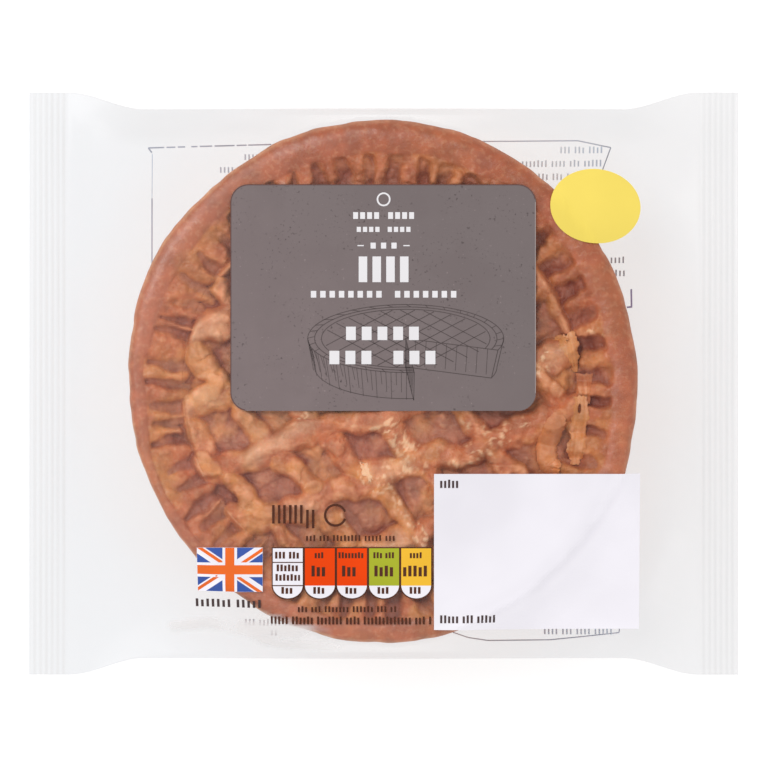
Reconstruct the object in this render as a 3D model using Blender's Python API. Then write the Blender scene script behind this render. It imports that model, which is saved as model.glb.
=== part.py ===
"""Large round pork pie sealed in a clear flow-wrap pack, lying face up.

Row frame: metres, +Z up, X along the pack from seal to seal, Y across it.
The origin is on the floor under the middle of the pack.

The pie is one solid: its flat base and leaning wall, the rim's smooth band, the
crimps inside it and the lid with its pastry lattice. The film round it is a
second solid, with the two ribbed end seals: it is drawn from the rim out to
the pack's edge and back under the pie, whose top is left bare because the
taut film there has no depth. The printed panels are thin plates that lie on
the film, each its own node.
"""

import math

import bmesh
import bpy

# ---- Driving dimensions, in metres -----------------------------------------
PACK_LENGTH = 0.1835        # seal edge to seal edge
SEAL_WIDTH = 0.1506         # across the flat end seals
BODY_WIDTH = 0.1420         # across the pack beside the pie
SEAL_DEPTH = 0.0104         # ribbed band at each end
SEAL_HEIGHT = 0.0140        # middle of the end seals above the floor
SEAL_THICKNESS = 0.0010
SIDE_HEIGHT = 0.0180        # widest line of the film beside the pie
SIDE_FOLD = 0.0090          # height of the film's round side fold there
SIDE_INSET = 0.0014         # how far that fold's upper and lower edge stand in

PIE_RADIUS = 0.0650         # widest point of the crust's rim
PIE_HEIGHT = 0.0390         # crest of the rim above the floor
BASE_RADIUS = 0.0570        # flat underside
BASE_ROUNDING = 0.0012      # of the edge between the underside and the wall
WALL_LEAN = 0.8             # below 1 the wall leans out most near its foot
WALL_BULGE = 0.0007
WALL_SHARES = (0.72, 0.40, 0.12)        # of the wall's height, from the rim down
LID_RADIUS = 0.0475         # where the lid meets the crimps
LID_HEIGHT = 0.0345         # lid at that edge
LID_DOME = 0.0011           # how much higher its middle is
LID_RINGS = (0.0280, 0.0430)            # radii of the lid's own points

CRIMP_COUNT = 45
STEPS_PER_CRIMP = 2
CRIMP_DEPTH = 0.0022        # valley below ridge at the crimps' inner ends

STRAND_WIDTH = 0.0068
STRAND_RISE = 0.0031        # top of a pastry strand above the lid
STRAND_ANGLES = (18.0, -52.0)           # degrees from +X
STRAND_SPACINGS = (0.0163, 0.0150)      # between neighbours, square to them
STRAND_SHIFTS = (-0.0060, -0.0049)      # of the middle strand from the centre
STRAND_STEP = 0.0130        # distance between a strand's points
STRAND_REACH = 0.0030       # how far a strand runs into the crimps

RIB_COUNT = 6
RIB_HEIGHT = 0.0004

FILM_GAP = 0.0004           # between the pie and the film round it
FILM_FLOOR = 0.0004         # thickness of the film under the pie
FILM_DOME = 0.0003          # rise of the taut film in the middle of the pie
FILM_CORE = 0.0350          # radius of the taut film's inner ring of points
PLATE_GAP = 0.0004          # between the film and a printed plate
PLATE_THICKNESS = 0.0004
CORNER_POINTS = 6           # points on each rounded corner
ROUND_POINTS = 40           # points on an ellipse

SECTORS = CRIMP_COUNT * STEPS_PER_CRIMP
BODY_HALF_LENGTH = PACK_LENGTH / 2 - SEAL_DEPTH
FLARE_START = 0.76          # share of the half length where the sides flare
SLOPE_POWER = 1.4           # above 1 the film hangs below a straight line
SLOPE_STEPS = (0.3, 0.62, 1.0)          # shares of the film's way out
PIE_BASE = FILM_FLOOR + FILM_GAP


# ---- Materials and small helpers -------------------------------------------
def material(name, colour, roughness):
    """Plain Principled material of one colour."""
    made = bpy.data.materials.new(name)
    made.use_nodes = True
    shader = made.node_tree.nodes["Principled BSDF"]
    shader.inputs["Base Color"].default_value = (*colour, 1.0)
    shader.inputs["Roughness"].default_value = roughness
    return made


def new_object(name, mesh, collection):
    """Object for a mesh, linked to a collection."""
    made = bpy.data.objects.new(name, mesh)
    collection.objects.link(made)
    return made


def smoothstep(low, high, value):
    """0 below low, 1 above high, smooth between."""
    share = min(1.0, max(0.0, (value - low) / (high - low)))
    return share * share * (3.0 - 2.0 * share)


def apply_boolean(target, other, operation):
    """Join or cut target with other, then remove other."""
    modifier = target.modifiers.new(operation.lower(), "BOOLEAN")
    modifier.operation = operation
    modifier.object = other
    bpy.context.view_layer.update()
    graph = bpy.context.evaluated_depsgraph_get()
    result = bpy.data.meshes.new_from_object(target.evaluated_get(graph))
    target.modifiers.remove(modifier)
    target.data = result
    bpy.data.objects.remove(other)


# ---- Shape of the film -----------------------------------------------------
def side_half_width(x):
    """Half width of the film at a distance x along the pack."""
    share = smoothstep(FLARE_START, 1.0, abs(x) / BODY_HALF_LENGTH)
    return BODY_WIDTH / 2 + share * (SEAL_WIDTH - BODY_WIDTH) / 2


def outline_radius(angle):
    """Distance from the centre to the edge of the pack's body."""
    to_seal = BODY_HALF_LENGTH / max(abs(math.cos(angle)), 1e-6)
    to_side = BODY_WIDTH / 2 / max(abs(math.sin(angle)), 1e-6)
    for _ in range(8):
        x = min(abs(to_side * math.cos(angle)), BODY_HALF_LENGTH)
        to_side = side_half_width(x) / max(abs(math.sin(angle)), 1e-6)
    return min(to_seal, to_side)


def seal_share(angle):
    """0 at the middle of the pack's sides and 1 at its end seals."""
    x = abs(outline_radius(angle) * math.cos(angle))
    return smoothstep(0.0, 1.0, x / BODY_HALF_LENGTH)


def edge_height(angle):
    """Height of the pack's edge: high beside the pie, low at the seals."""
    return SIDE_HEIGHT + seal_share(angle) * (SEAL_HEIGHT - SIDE_HEIGHT)


def fold_half_height(angle):
    """Half the height of the side fold, which thins out to the end seals."""
    side = SIDE_FOLD / 2
    return side + seal_share(angle) * (SEAL_THICKNESS / 2 - side)


def upper_edge(angle):
    """Height of the upper film where the side fold starts."""
    return edge_height(angle) + fold_half_height(angle)


def lower_edge(angle):
    """Height of the lower film where the side fold ends."""
    return edge_height(angle) - fold_half_height(angle)


def fold_radius(angle):
    """Distance from the centre to the upper and lower edge of the fold."""
    inset = SIDE_INSET * (1.0 - seal_share(angle))
    return outline_radius(angle) - inset


def slope_share(travel):
    """How far a taut film has come down after a share of its way out."""
    return 1.0 - (1.0 - travel) ** SLOPE_POWER


def crest_profile():
    """(radius, height) of the crust's smooth band, from its crest outwards."""
    return (
        (PIE_RADIUS - 0.0032, PIE_HEIGHT),
        (PIE_RADIUS - 0.0012, PIE_HEIGHT - 0.0009),
        (PIE_RADIUS, PIE_HEIGHT - 0.0032),
    )


def crimp_profile():
    """(radius, ridge height, depth of the valley) through the crimps."""
    return (
        (0.0490, PIE_HEIGHT - 0.0030, CRIMP_DEPTH),
        (0.0515, PIE_HEIGHT - 0.0020, CRIMP_DEPTH),
        (0.0555, PIE_HEIGHT - 0.0008, 0.7 * CRIMP_DEPTH),
        (0.0592, PIE_HEIGHT - 0.0003, 0.2 * CRIMP_DEPTH),
    )


def lid_height(radius):
    """Gently domed lid inside the crimps."""
    return LID_HEIGHT + LID_DOME * (1.0 - (radius / LID_RADIUS) ** 2)


def wall_radius(share):
    """Radius of the pie's wall at a share of its height up to the rim."""
    reach = (PIE_RADIUS - BASE_RADIUS) * share ** WALL_LEAN
    return BASE_RADIUS + reach + WALL_BULGE * math.sin(math.pi * share)


def wall_profile():
    """(radius, height) of the pie's wall, from under the rim to its underside."""
    rim_height = crest_profile()[-1][1]
    points = [(wall_radius(share), PIE_BASE + share * (rim_height - PIE_BASE))
              for share in WALL_SHARES]
    points.append((BASE_RADIUS, PIE_BASE + BASE_ROUNDING))
    points.append((BASE_RADIUS - BASE_ROUNDING, PIE_BASE))
    return points


def taut_height(radius):
    """Film drawn tight from crest to crest, above the lid and the crimps."""
    crest_radius, crest_height = crest_profile()[0]
    return crest_height + FILM_DOME * (1.0 - (radius / crest_radius) ** 2)


def crimp_wave(sector):
    """1 on a ridge and 0 in the valley beside it."""
    turn = 2.0 * math.pi * sector / STEPS_PER_CRIMP
    return 0.5 + 0.5 * math.cos(turn)


def sector_angles():
    """Angles round the pack, with one sector on each corner of the body."""
    angles = [2.0 * math.pi * i / SECTORS for i in range(SECTORS)]
    corner = math.atan2(SEAL_WIDTH / 2, BODY_HALF_LENGTH)
    for target in (corner, math.pi - corner, math.pi + corner, -corner):
        target %= 2.0 * math.pi
        nearest = min(range(SECTORS), key=lambda i: abs(angles[i] - target))
        angles[nearest] = target
    return angles


def ring(angles, radius, height):
    """Points of a ring, from functions of the angle and the sector."""
    points = []
    for sector, angle in enumerate(angles):
        r = radius(angle)
        z = height(angle, sector)
        points.append((r * math.cos(angle), r * math.sin(angle), z))
    return points


def slope_ring(angles, start, end_height, travel):
    """A ring of film between the pie's edge, at start, and the side fold."""
    radius, z = start
    share = slope_share(travel)
    return ring(
        angles,
        lambda a: radius + travel * (fold_radius(a) - radius),
        lambda a, _: z + share * (end_height(a) - z),
    )


def level_ring(angles, radius, height):
    """A round, level ring."""
    return ring(angles, lambda a: radius, lambda a, s: height)


def crest_rings(angles):
    """Rings of the crust's smooth band, from its crest outwards."""
    return [level_ring(angles, radius, z) for radius, z in crest_profile()]


def slope_rings(angles):
    """Rings of the upper film, from beside the pie out to the side fold."""
    edge = crest_profile()[-1]
    return [slope_ring(angles, edge, upper_edge, travel) for travel in SLOPE_STEPS]


def crust_rings(angles):
    """Rings of the lid and the crimps, from the middle outwards.

    A crimp's ridge and the valley beside it take STEPS_PER_CRIMP sectors.
    """
    coarse = angles[::STEPS_PER_CRIMP]
    rings = [level_ring(coarse, radius, lid_height(radius)) for radius in LID_RINGS]
    rings.append(level_ring(angles, LID_RADIUS, LID_HEIGHT))
    for radius, ridge, depth in crimp_profile():
        rings.append(ring(
            angles, lambda a, r=radius: r,
            lambda a, s, h=ridge, d=depth: h - d * (1.0 - crimp_wave(s))))
    return rings


def opening_ring(angles):
    """Edge of the film beside the rim, on the straight run to the first slope ring."""
    radius, z = crest_profile()[-1]

    def drop(angle):
        share = FILM_GAP / (SLOPE_STEPS[0] * (fold_radius(angle) - radius))
        return share * slope_share(SLOPE_STEPS[0]) * (z - upper_edge(angle))

    return ring(angles, lambda a: radius + FILM_GAP, lambda a, s: z - drop(a))


def cup_rings(angles):
    """Rings of the film's inside, from under the pie up its wall."""
    rings = [level_ring(angles, radius + FILM_GAP, z) for radius, z in wall_profile()[::-1]]
    rings[0] = level_ring(angles, BASE_RADIUS - BASE_ROUNDING, FILM_FLOOR)
    return rings


def bottom_rings(angles):
    """The outline, then the lower film from the side fold to the flat base."""
    start = (BASE_RADIUS, 0.0)
    rings = [ring(angles, outline_radius, lambda a, s: edge_height(a))]
    rings += [slope_ring(angles, start, lower_edge, t) for t in (1.0, 0.5)]
    rings.append(ring(angles, lambda a: BASE_RADIUS, lambda a, s: 0.0))
    return rings


def loft(name, rings, centres):
    """Closed mesh through the rings, fanned to a centre at both ends.

    Every quad is split from its inner ring's first point, whichever way the
    rings run, so that layers made from the same rings lie parallel.
    """
    mesh = bmesh.new()
    loops = [[mesh.verts.new(point) for point in points] for points in rings]
    for upper, lower in zip(loops, loops[1:]):
        outwards = lower[0].co.x >= upper[0].co.x
        inner, outer = (upper, lower) if outwards else (lower, upper)
        ratio = len(outer) // len(inner)
        for i, point in enumerate(inner):
            run = [outer[(ratio * i + k) % len(outer)] for k in range(ratio + 1)]
            for pair in zip(run, run[1:]):
                mesh.faces.new((point, *pair))
            mesh.faces.new((point, run[-1], inner[(i + 1) % len(inner)]))
    for points, height in zip((loops[0], loops[-1]), centres):
        centre = mesh.verts.new((0.0, 0.0, height))
        for i, point in enumerate(points):
            mesh.faces.new((centre, point, points[(i + 1) % len(points)]))
    bmesh.ops.recalc_face_normals(mesh, faces=mesh.faces)
    made = bpy.data.meshes.new(name)
    mesh.to_mesh(made)
    mesh.free()
    return made


# ---- The pie and its film --------------------------------------------------
def flat_outline(name, points, thickness, collection):
    """Prism of a flat outline, thickness deep along its own Z, as a mesh."""
    curve = bpy.data.curves.new(name, "CURVE")
    curve.dimensions = "2D"
    curve.fill_mode = "BOTH"
    curve.extrude = thickness / 2
    spline = curve.splines.new("POLY")
    spline.points.add(len(points) - 1)
    for spot, (x, y) in zip(spline.points, points):
        spot.co = (x, y, 0.0, 1.0)
    spline.use_cyclic_u = True
    guide = bpy.data.objects.new(name + "_outline", curve)
    collection.objects.link(guide)
    return as_mesh(guide, name, collection)


def as_mesh(guide, name, collection):
    """Mesh object made from a curve, welded, in place of the curve."""
    bpy.context.view_layer.update()
    graph = bpy.context.evaluated_depsgraph_get()
    mesh = bpy.data.meshes.new_from_object(guide.evaluated_get(graph))
    made = new_object(name, mesh, collection)
    made.matrix_world = guide.matrix_world.copy()
    bpy.data.objects.remove(guide)
    editing = bmesh.new()
    editing.from_mesh(mesh)
    bmesh.ops.remove_doubles(editing, verts=editing.verts, dist=1e-6)
    bmesh.ops.recalc_face_normals(editing, faces=editing.faces)
    editing.to_mesh(mesh)
    editing.free()
    return made


def rib_outline():
    """Section of an end seal, in X and Z about its inner edge."""
    overlap = 0.0015
    pitch = SEAL_DEPTH / RIB_COUNT
    half = SEAL_THICKNESS / 2 - RIB_HEIGHT / 2
    top = [(-overlap, half)]
    for rib in range(RIB_COUNT):
        start = rib * pitch
        top.append((start + 0.15 * pitch, half))
        top.append((start + 0.35 * pitch, half + RIB_HEIGHT))
        top.append((start + 0.65 * pitch, half + RIB_HEIGHT))
        top.append((start + 0.85 * pitch, half))
    top.append((SEAL_DEPTH, half))
    bottom = [(x, z - 2 * half) for x, z in reversed(top)]
    return top + bottom


def end_seal(side, collection):
    """Ribbed seal across one end; side is 1 or -1."""
    made = flat_outline("end_seal", rib_outline(), SEAL_WIDTH, collection)
    made.rotation_euler = (math.pi / 2, 0.0, 0.0 if side > 0 else math.pi)
    made.location = (side * BODY_HALF_LENGTH, 0.0, SEAL_HEIGHT)
    return made


def strand(family, number, collection):
    """One pastry strand of the lattice, a flattened rod on the lid."""
    angle = math.radians(STRAND_ANGLES[family])
    offset = STRAND_SHIFTS[family] + number * STRAND_SPACINGS[family]
    reach = LID_RADIUS + STRAND_REACH
    half = math.sqrt(reach ** 2 - offset ** 2)
    count = max(3, round(2 * half / STRAND_STEP) + 1)
    curve = bpy.data.curves.new("strand", "CURVE")
    curve.dimensions = "3D"
    curve.bevel_depth = STRAND_WIDTH / 2
    curve.bevel_resolution = 2
    curve.use_fill_caps = True
    spline = curve.splines.new("POLY")
    spline.points.add(count - 1)
    # the rod is made round and squashed in Z, so heights are stretched here
    squash = 2 * STRAND_RISE / STRAND_WIDTH
    for i, spot in enumerate(spline.points):
        along = -half + 2 * half * i / (count - 1)
        x = along * math.cos(angle) - offset * math.sin(angle)
        y = along * math.sin(angle) + offset * math.cos(angle)
        z = lid_height(math.hypot(x, y))
        spot.co = (x, y, z / squash, 1.0)
    guide = bpy.data.objects.new("strand_line", curve)
    collection.objects.link(guide)
    guide.scale = (1.0, 1.0, squash)
    return as_mesh(guide, "strand", collection)


def strand_numbers(family):
    """Numbers of the strands that cross the lid in one family."""
    reach = LID_RADIUS - STRAND_WIDTH / 2
    return [n for n in range(-5, 6)
            if abs(STRAND_SHIFTS[family] + n * STRAND_SPACINGS[family]) < reach]


def finished(made, finish):
    """Give an object its one material and smooth shading."""
    made.data.materials.clear()
    made.data.materials.append(finish)
    made.data.shade_smooth()
    made.data.set_sharp_from_angle(angle=math.radians(40))
    return made


def build_pie(parts, cutters, angles):
    """The pie, as one solid with its lattice."""
    rings = crust_rings(angles) + crest_rings(angles)
    rings += [level_ring(angles, radius, z) for radius, z in wall_profile()]
    mesh = loft("pork_pie", rings, (lid_height(0.0), PIE_BASE))
    pie = new_object("pork_pie", mesh, parts)
    for family in range(len(STRAND_ANGLES)):
        for number in strand_numbers(family):
            apply_boolean(pie, strand(family, number, cutters), "UNION")
    return finished(pie, material("baked_crust", (0.47, 0.17, 0.085), 0.5))


def build_film(parts, cutters, angles):
    """The film round and under the pie and the end seals, as one solid."""
    rings = cup_rings(angles) + [opening_ring(angles)] + slope_rings(angles)
    mesh = loft("film_pack", rings + bottom_rings(angles), (FILM_FLOOR, 0.0))
    film = new_object("film_pack", mesh, parts)
    for side in (1, -1):
        apply_boolean(film, end_seal(side, cutters), "UNION")
    return finished(film, material("clear_film", (0.87, 0.86, 0.87), 0.2))


# ---- Printed plates --------------------------------------------------------
def rectangle(low, high):
    """Outline of a rectangle with square corners, anticlockwise."""
    return [low, (high[0], low[1]), high, (low[0], high[1])]


def rounded_rectangle(low, high, radius):
    """Outline of a rectangle with round corners, anticlockwise."""
    centres = (
        (high[0] - radius, high[1] - radius), (low[0] + radius, high[1] - radius),
        (low[0] + radius, low[1] + radius), (high[0] - radius, low[1] + radius),
    )
    points = []
    for quarter, (x, y) in enumerate(centres):
        for i in range(CORNER_POINTS + 1):
            turn = math.pi / 2 * (quarter + i / CORNER_POINTS)
            points.append((x + radius * math.cos(turn), y + radius * math.sin(turn)))
    return points


def ellipse(centre, radii):
    """Outline of an ellipse, anticlockwise."""
    turns = [2.0 * math.pi * i / ROUND_POINTS for i in range(ROUND_POINTS)]
    return [(centre[0] + radii[0] * math.cos(t), centre[1] + radii[1] * math.sin(t))
            for t in turns]


def scalloped_strip(low, high, cells):
    """Strip with a straight top and one half-round tab under each cell."""
    width = (high[0] - low[0]) / cells
    tab = 0.30 * (high[1] - low[1])
    points = [(low[0], high[1])]
    for cell in range(cells):
        middle = low[0] + (cell + 0.5) * width
        for i in range(CORNER_POINTS + 1):
            turn = math.pi * (1.0 + i / CORNER_POINTS)
            points.append((middle + 0.49 * width * math.cos(turn),
                           low[1] + tab + tab * math.sin(turn)))
    points.append((high[0], high[1]))
    return points


def plate_layer(angles, cutters):
    """Thin shell that lies on the film everywhere, to cut the plates from."""
    rings = [level_ring(angles[::STEPS_PER_CRIMP], FILM_CORE, taut_height(FILM_CORE))]
    rings += crest_rings(angles) + slope_rings(angles)
    lift = [[(x, y, z + PLATE_GAP + PLATE_THICKNESS) for x, y, z in r] for r in rings]
    under = [[(x, y, z + PLATE_GAP) for x, y, z in r] for r in reversed(rings)]
    middle = taut_height(0.0) + PLATE_GAP
    centres = (middle + PLATE_THICKNESS, middle)
    return new_object("plate_layer", loft("plate_layer", lift + under, centres), cutters)


def build_plate(name, outline, finish, parts, cutters, angles):
    """A printed plate: the part of the thin shell inside an outline."""
    plate = plate_layer(angles, cutters)
    plate.name = name
    cutters.objects.unlink(plate)
    parts.objects.link(plate)
    prism = flat_outline("prism", outline, 4 * PIE_HEIGHT, cutters)
    apply_boolean(plate, prism, "INTERSECT")
    plate.data.materials.clear()
    plate.data.materials.append(finish)
    return plate


def plate_outlines():
    """Name, outline and finish of each printed plate."""
    return (
        ("front_panel",
         rounded_rectangle((-0.0383, -0.0069), (0.0388, 0.0504), 0.0045),
         material("slate_print", (0.20, 0.165, 0.17), 0.45)),
        ("price_spot",
         ellipse((0.0537, 0.0448), (0.0117, 0.0095)),
         material("yellow_print", (0.93, 0.73, 0.12), 0.4)),
        ("date_panel",
         rectangle((0.0125, -0.0628), (0.0652, -0.0226)),
         material("white_print", (0.87, 0.86, 0.90), 0.4)),
        ("nutrition_strip",
         scalloped_strip((-0.0285, -0.0548), (0.0123, -0.0410), 5),
         material("panel_print", (0.85, 0.35, 0.12), 0.4)),
        ("flag_patch",
         rectangle((-0.0475, -0.0530), (-0.0301, -0.0410)),
         material("flag_print", (0.30, 0.30, 0.55), 0.4)),
    )


# ---- Build -----------------------------------------------------------------
def main():
    """Clear the scene and build the film, the pie and the printed plates."""
    for old in list(bpy.data.objects):
        bpy.data.objects.remove(old)
    parts = bpy.data.collections.new("packed_pork_pie")
    cutters = bpy.data.collections.new("cutters")
    for collection in (parts, cutters):
        bpy.context.scene.collection.children.link(collection)
    angles = sector_angles()
    build_film(parts, cutters, angles)
    build_pie(parts, cutters, angles)
    for name, outline, finish in plate_outlines():
        build_plate(name, outline, finish, parts, cutters, angles)
    bpy.data.collections.remove(cutters)


main()
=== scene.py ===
"""Studio scene of a large round pork pie sealed in a clear flow-wrap pack.

Sizes in the classes are in millimetres, in the row frame: X along the pack
from end seal to end seal, Y across it, Z up, and the origin on the floor under
the middle of the pack. Meshes are turned into metres when they are made.
"""

import logging
import math
from dataclasses import dataclass, field
from enum import Enum
from typing import Callable, Optional, Sequence

import bmesh
import bpy
import numpy as np
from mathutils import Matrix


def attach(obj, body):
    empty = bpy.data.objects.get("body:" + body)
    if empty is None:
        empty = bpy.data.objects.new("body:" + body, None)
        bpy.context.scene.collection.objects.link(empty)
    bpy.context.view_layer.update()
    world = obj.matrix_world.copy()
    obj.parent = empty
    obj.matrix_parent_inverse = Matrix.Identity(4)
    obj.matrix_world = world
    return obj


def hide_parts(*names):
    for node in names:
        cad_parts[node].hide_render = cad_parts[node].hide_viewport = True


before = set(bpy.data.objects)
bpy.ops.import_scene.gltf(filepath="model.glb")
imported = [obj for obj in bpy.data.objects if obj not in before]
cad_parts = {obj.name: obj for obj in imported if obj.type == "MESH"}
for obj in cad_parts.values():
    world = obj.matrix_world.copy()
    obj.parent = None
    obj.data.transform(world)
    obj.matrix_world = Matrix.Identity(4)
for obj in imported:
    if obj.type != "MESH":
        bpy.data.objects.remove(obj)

LOG = logging.getLogger("pork_pie_pack")
MM = 0.001
BODY = "root"
Array = np.ndarray
Point = tuple[float, float]
Colour = tuple[float, float, float]
Masks = dict[str, np.ndarray]
Socket = bpy.types.NodeSocket
Surface = Callable[[np.ndarray, np.ndarray], np.ndarray]
# One of these masks darkens creases, hollows and the wall's foot as painted shade; another adds a painted
# highlight on raised places.
PASTRY_MASKS = ("gold", "band", "well", "slot", "pale", "wet", "pit", "bake", "crown")


# ---- Repeatable noise ------------------------------------------------------
def scatter(column: Array, row: Array, seed: int) -> Array:
    """Give a repeatable value from 0 to 1 for each whole-numbered cell.

    Args:
        column: Cell numbers along the first axis.
        row: Cell numbers along the second axis.
        seed: Picks one of many independent fields.

    Returns:
        One value for each cell.
    """
    mixed = column.astype(np.int64) * 374761393 + row.astype(np.int64) * 668265263
    mixed = (mixed + seed * 974634777) & 0xFFFFFFFF
    mixed = ((mixed ^ (mixed >> 13)) * 1274126177) & 0xFFFFFFFF
    mixed = ((mixed ^ (mixed >> 16)) * 1103515245) & 0xFFFFFFFF
    return ((mixed ^ (mixed >> 15)) & 0xFFFFFF) / float(0xFFFFFF)


def noise(x: Array, y: Array, size: float, seed: int) -> Array:
    """Smooth noise from -1 to 1, with bumps about size across.

    Args:
        x: Places along the first axis.
        y: Places along the second axis.
        size: Width of one bump.
        seed: Picks one of many independent fields.

    Returns:
        The noise at each place.
    """
    turn = 0.6 + 1.7 * seed
    u = (x * math.cos(turn) - y * math.sin(turn)) / size
    v = (x * math.sin(turn) + y * math.cos(turn)) / size
    column, row = np.floor(u), np.floor(v)
    u, v = u - column, v - row
    su, sv = (t * t * t * (t * (t * 6 - 15) + 10) for t in (u, v))
    low = scatter(column, row, seed) * (1 - su) + scatter(column + 1, row, seed) * su
    high = scatter(column, row + 1, seed) * (1 - su) + scatter(column + 1, row + 1, seed) * su
    return 2.0 * (low * (1 - sv) + high * sv) - 1.0


def layered(x: Array, y: Array, size: float, seed: int, layers: int = 3) -> Array:
    """Noise with finer bumps added on the broad ones, about -1 to 1.

    Args:
        x: Places along the first axis.
        y: Places along the second axis.
        size: Width of the broadest bumps.
        seed: Picks one of many independent fields.
        layers: How many sizes of bump are added, each half the last.

    Returns:
        The noise at each place.
    """
    total = sum(noise(x, y, size / 2**k, seed + 31 * k) * 0.55**k for k in range(layers))
    return total / sum(0.55**k for k in range(layers))


def speckle(x: Array, y: Array, size: float, seed: int) -> tuple[Array, Array]:
    """Nearest of many scattered points, for crumbs and blisters.

    Args:
        x: Places along the first axis.
        y: Places along the second axis.
        size: Usual distance between the points.
        seed: Picks one of many independent fields.

    Returns:
        The distance to the nearest point, in sizes, and that point's value.
    """
    u, v = x / size, y / size
    column, row = np.floor(u), np.floor(v)
    nearest = np.full(u.shape, 9.0)
    value = np.zeros(u.shape)
    for du in (-1, 0, 1):
        for dv in (-1, 0, 1):
            c, r = column + du, row + dv
            gap = np.hypot(u - c - scatter(c, r, seed), v - r - scatter(c, r, seed + 1))
            closer = gap < nearest
            nearest = np.where(closer, gap, nearest)
            value = np.where(closer, scatter(c, r, seed + 2), value)
    return nearest, value


def smooth(low: float, high: float, value: Array) -> Array:
    """0 below low and 1 above high, with a smooth rise between them."""
    share = np.clip((value - low) / (high - low), 0.0, 1.0)
    return share * share * (3.0 - 2.0 * share)


def merge(first: Array, second: Array, blend: float) -> Array:
    """Higher of two surfaces, with a fillet of about blend where they meet."""
    share = np.clip(0.5 + 0.5 * (first - second) / blend, 0.0, 1.0)
    return second + (first - second) * share + blend * share * (1.0 - share) * 0.5


def soften(grid: Array, times: int, closed: bool = False) -> Array:
    """Average each value of a grid with its neighbours, several times.

    Args:
        grid: Values in rows and columns.
        times: How often they are averaged.
        closed: Whether the last column meets the first.

    Returns:
        The softened grid.
    """
    for _ in range(times):
        side = "wrap" if closed else "edge"
        wide = np.pad(np.pad(grid, ((1, 1), (0, 0)), mode="edge"), ((0, 0), (1, 1)), mode=side)
        grid = (wide[:-2, 1:-1] + wide[2:, 1:-1] + wide[1:-1, :-2] + wide[1:-1, 2:]) / 4
    return grid


# ---- Meshes ----------------------------------------------------------------
def grid_faces(rows: int, columns: int, closed: bool = False) -> Array:
    """Quads between neighbouring points of a grid.

    Args:
        rows: Number of rows of points.
        columns: Number of points in each row.
        closed: Whether the last column joins the first.

    Returns:
        Four point numbers for each quad.
    """
    number = np.arange(rows * columns).reshape(rows, columns)
    if closed:
        number = np.concatenate([number, number[:, :1]], axis=1)
    corners = (number[:-1, :-1], number[:-1, 1:], number[1:, 1:], number[1:, :-1])
    return np.stack([corner.ravel() for corner in corners], axis=1)


def add_object(name: str, data: bpy.types.ID) -> bpy.types.Object:
    """Make an object and link it to the scene."""
    made = bpy.data.objects.new(name, data)
    bpy.context.scene.collection.objects.link(made)
    return made


def make_mesh(name: str, points: Array, faces: Array, masks: Masks) -> bpy.types.Object:
    """Make a smooth mesh object from arrays.

    Args:
        name: The object's name.
        points: X, Y and Z of each point, in millimetres.
        faces: Point numbers of each face, all with as many corners.
        masks: Values for each point, by the name of the attribute.

    Returns:
        The object, linked to the scene.
    """
    mesh = bpy.data.meshes.new(name)
    mesh.vertices.add(len(points))
    mesh.vertices.foreach_set("co", (points * MM).astype(np.float32).ravel())
    mesh.loops.add(faces.size)
    mesh.loops.foreach_set("vertex_index", faces.astype(np.int32).ravel())
    mesh.polygons.add(len(faces))
    mesh.polygons.foreach_set("loop_start", np.arange(0, faces.size, faces.shape[1], dtype=np.int32))
    mesh.update(calc_edges=True)
    mesh.validate()
    for label, values in masks.items():
        layer = mesh.attributes.new(label, "FLOAT", "POINT")
        layer.data.foreach_set("value", np.asarray(values, dtype=np.float32).ravel())
    mesh.shade_smooth()
    return add_object(name, mesh)


def mask_set(shape: tuple[int, ...], **given: object) -> Masks:
    """Fill every mask of the pastry.

    Args:
        shape: Shape of each mask.
        given: Values by mask, where they aren't 0.

    Returns:
        All masks by name.
    """
    return {label: np.zeros(shape) + given.get(label, 0.0) for label in PASTRY_MASKS}


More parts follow.
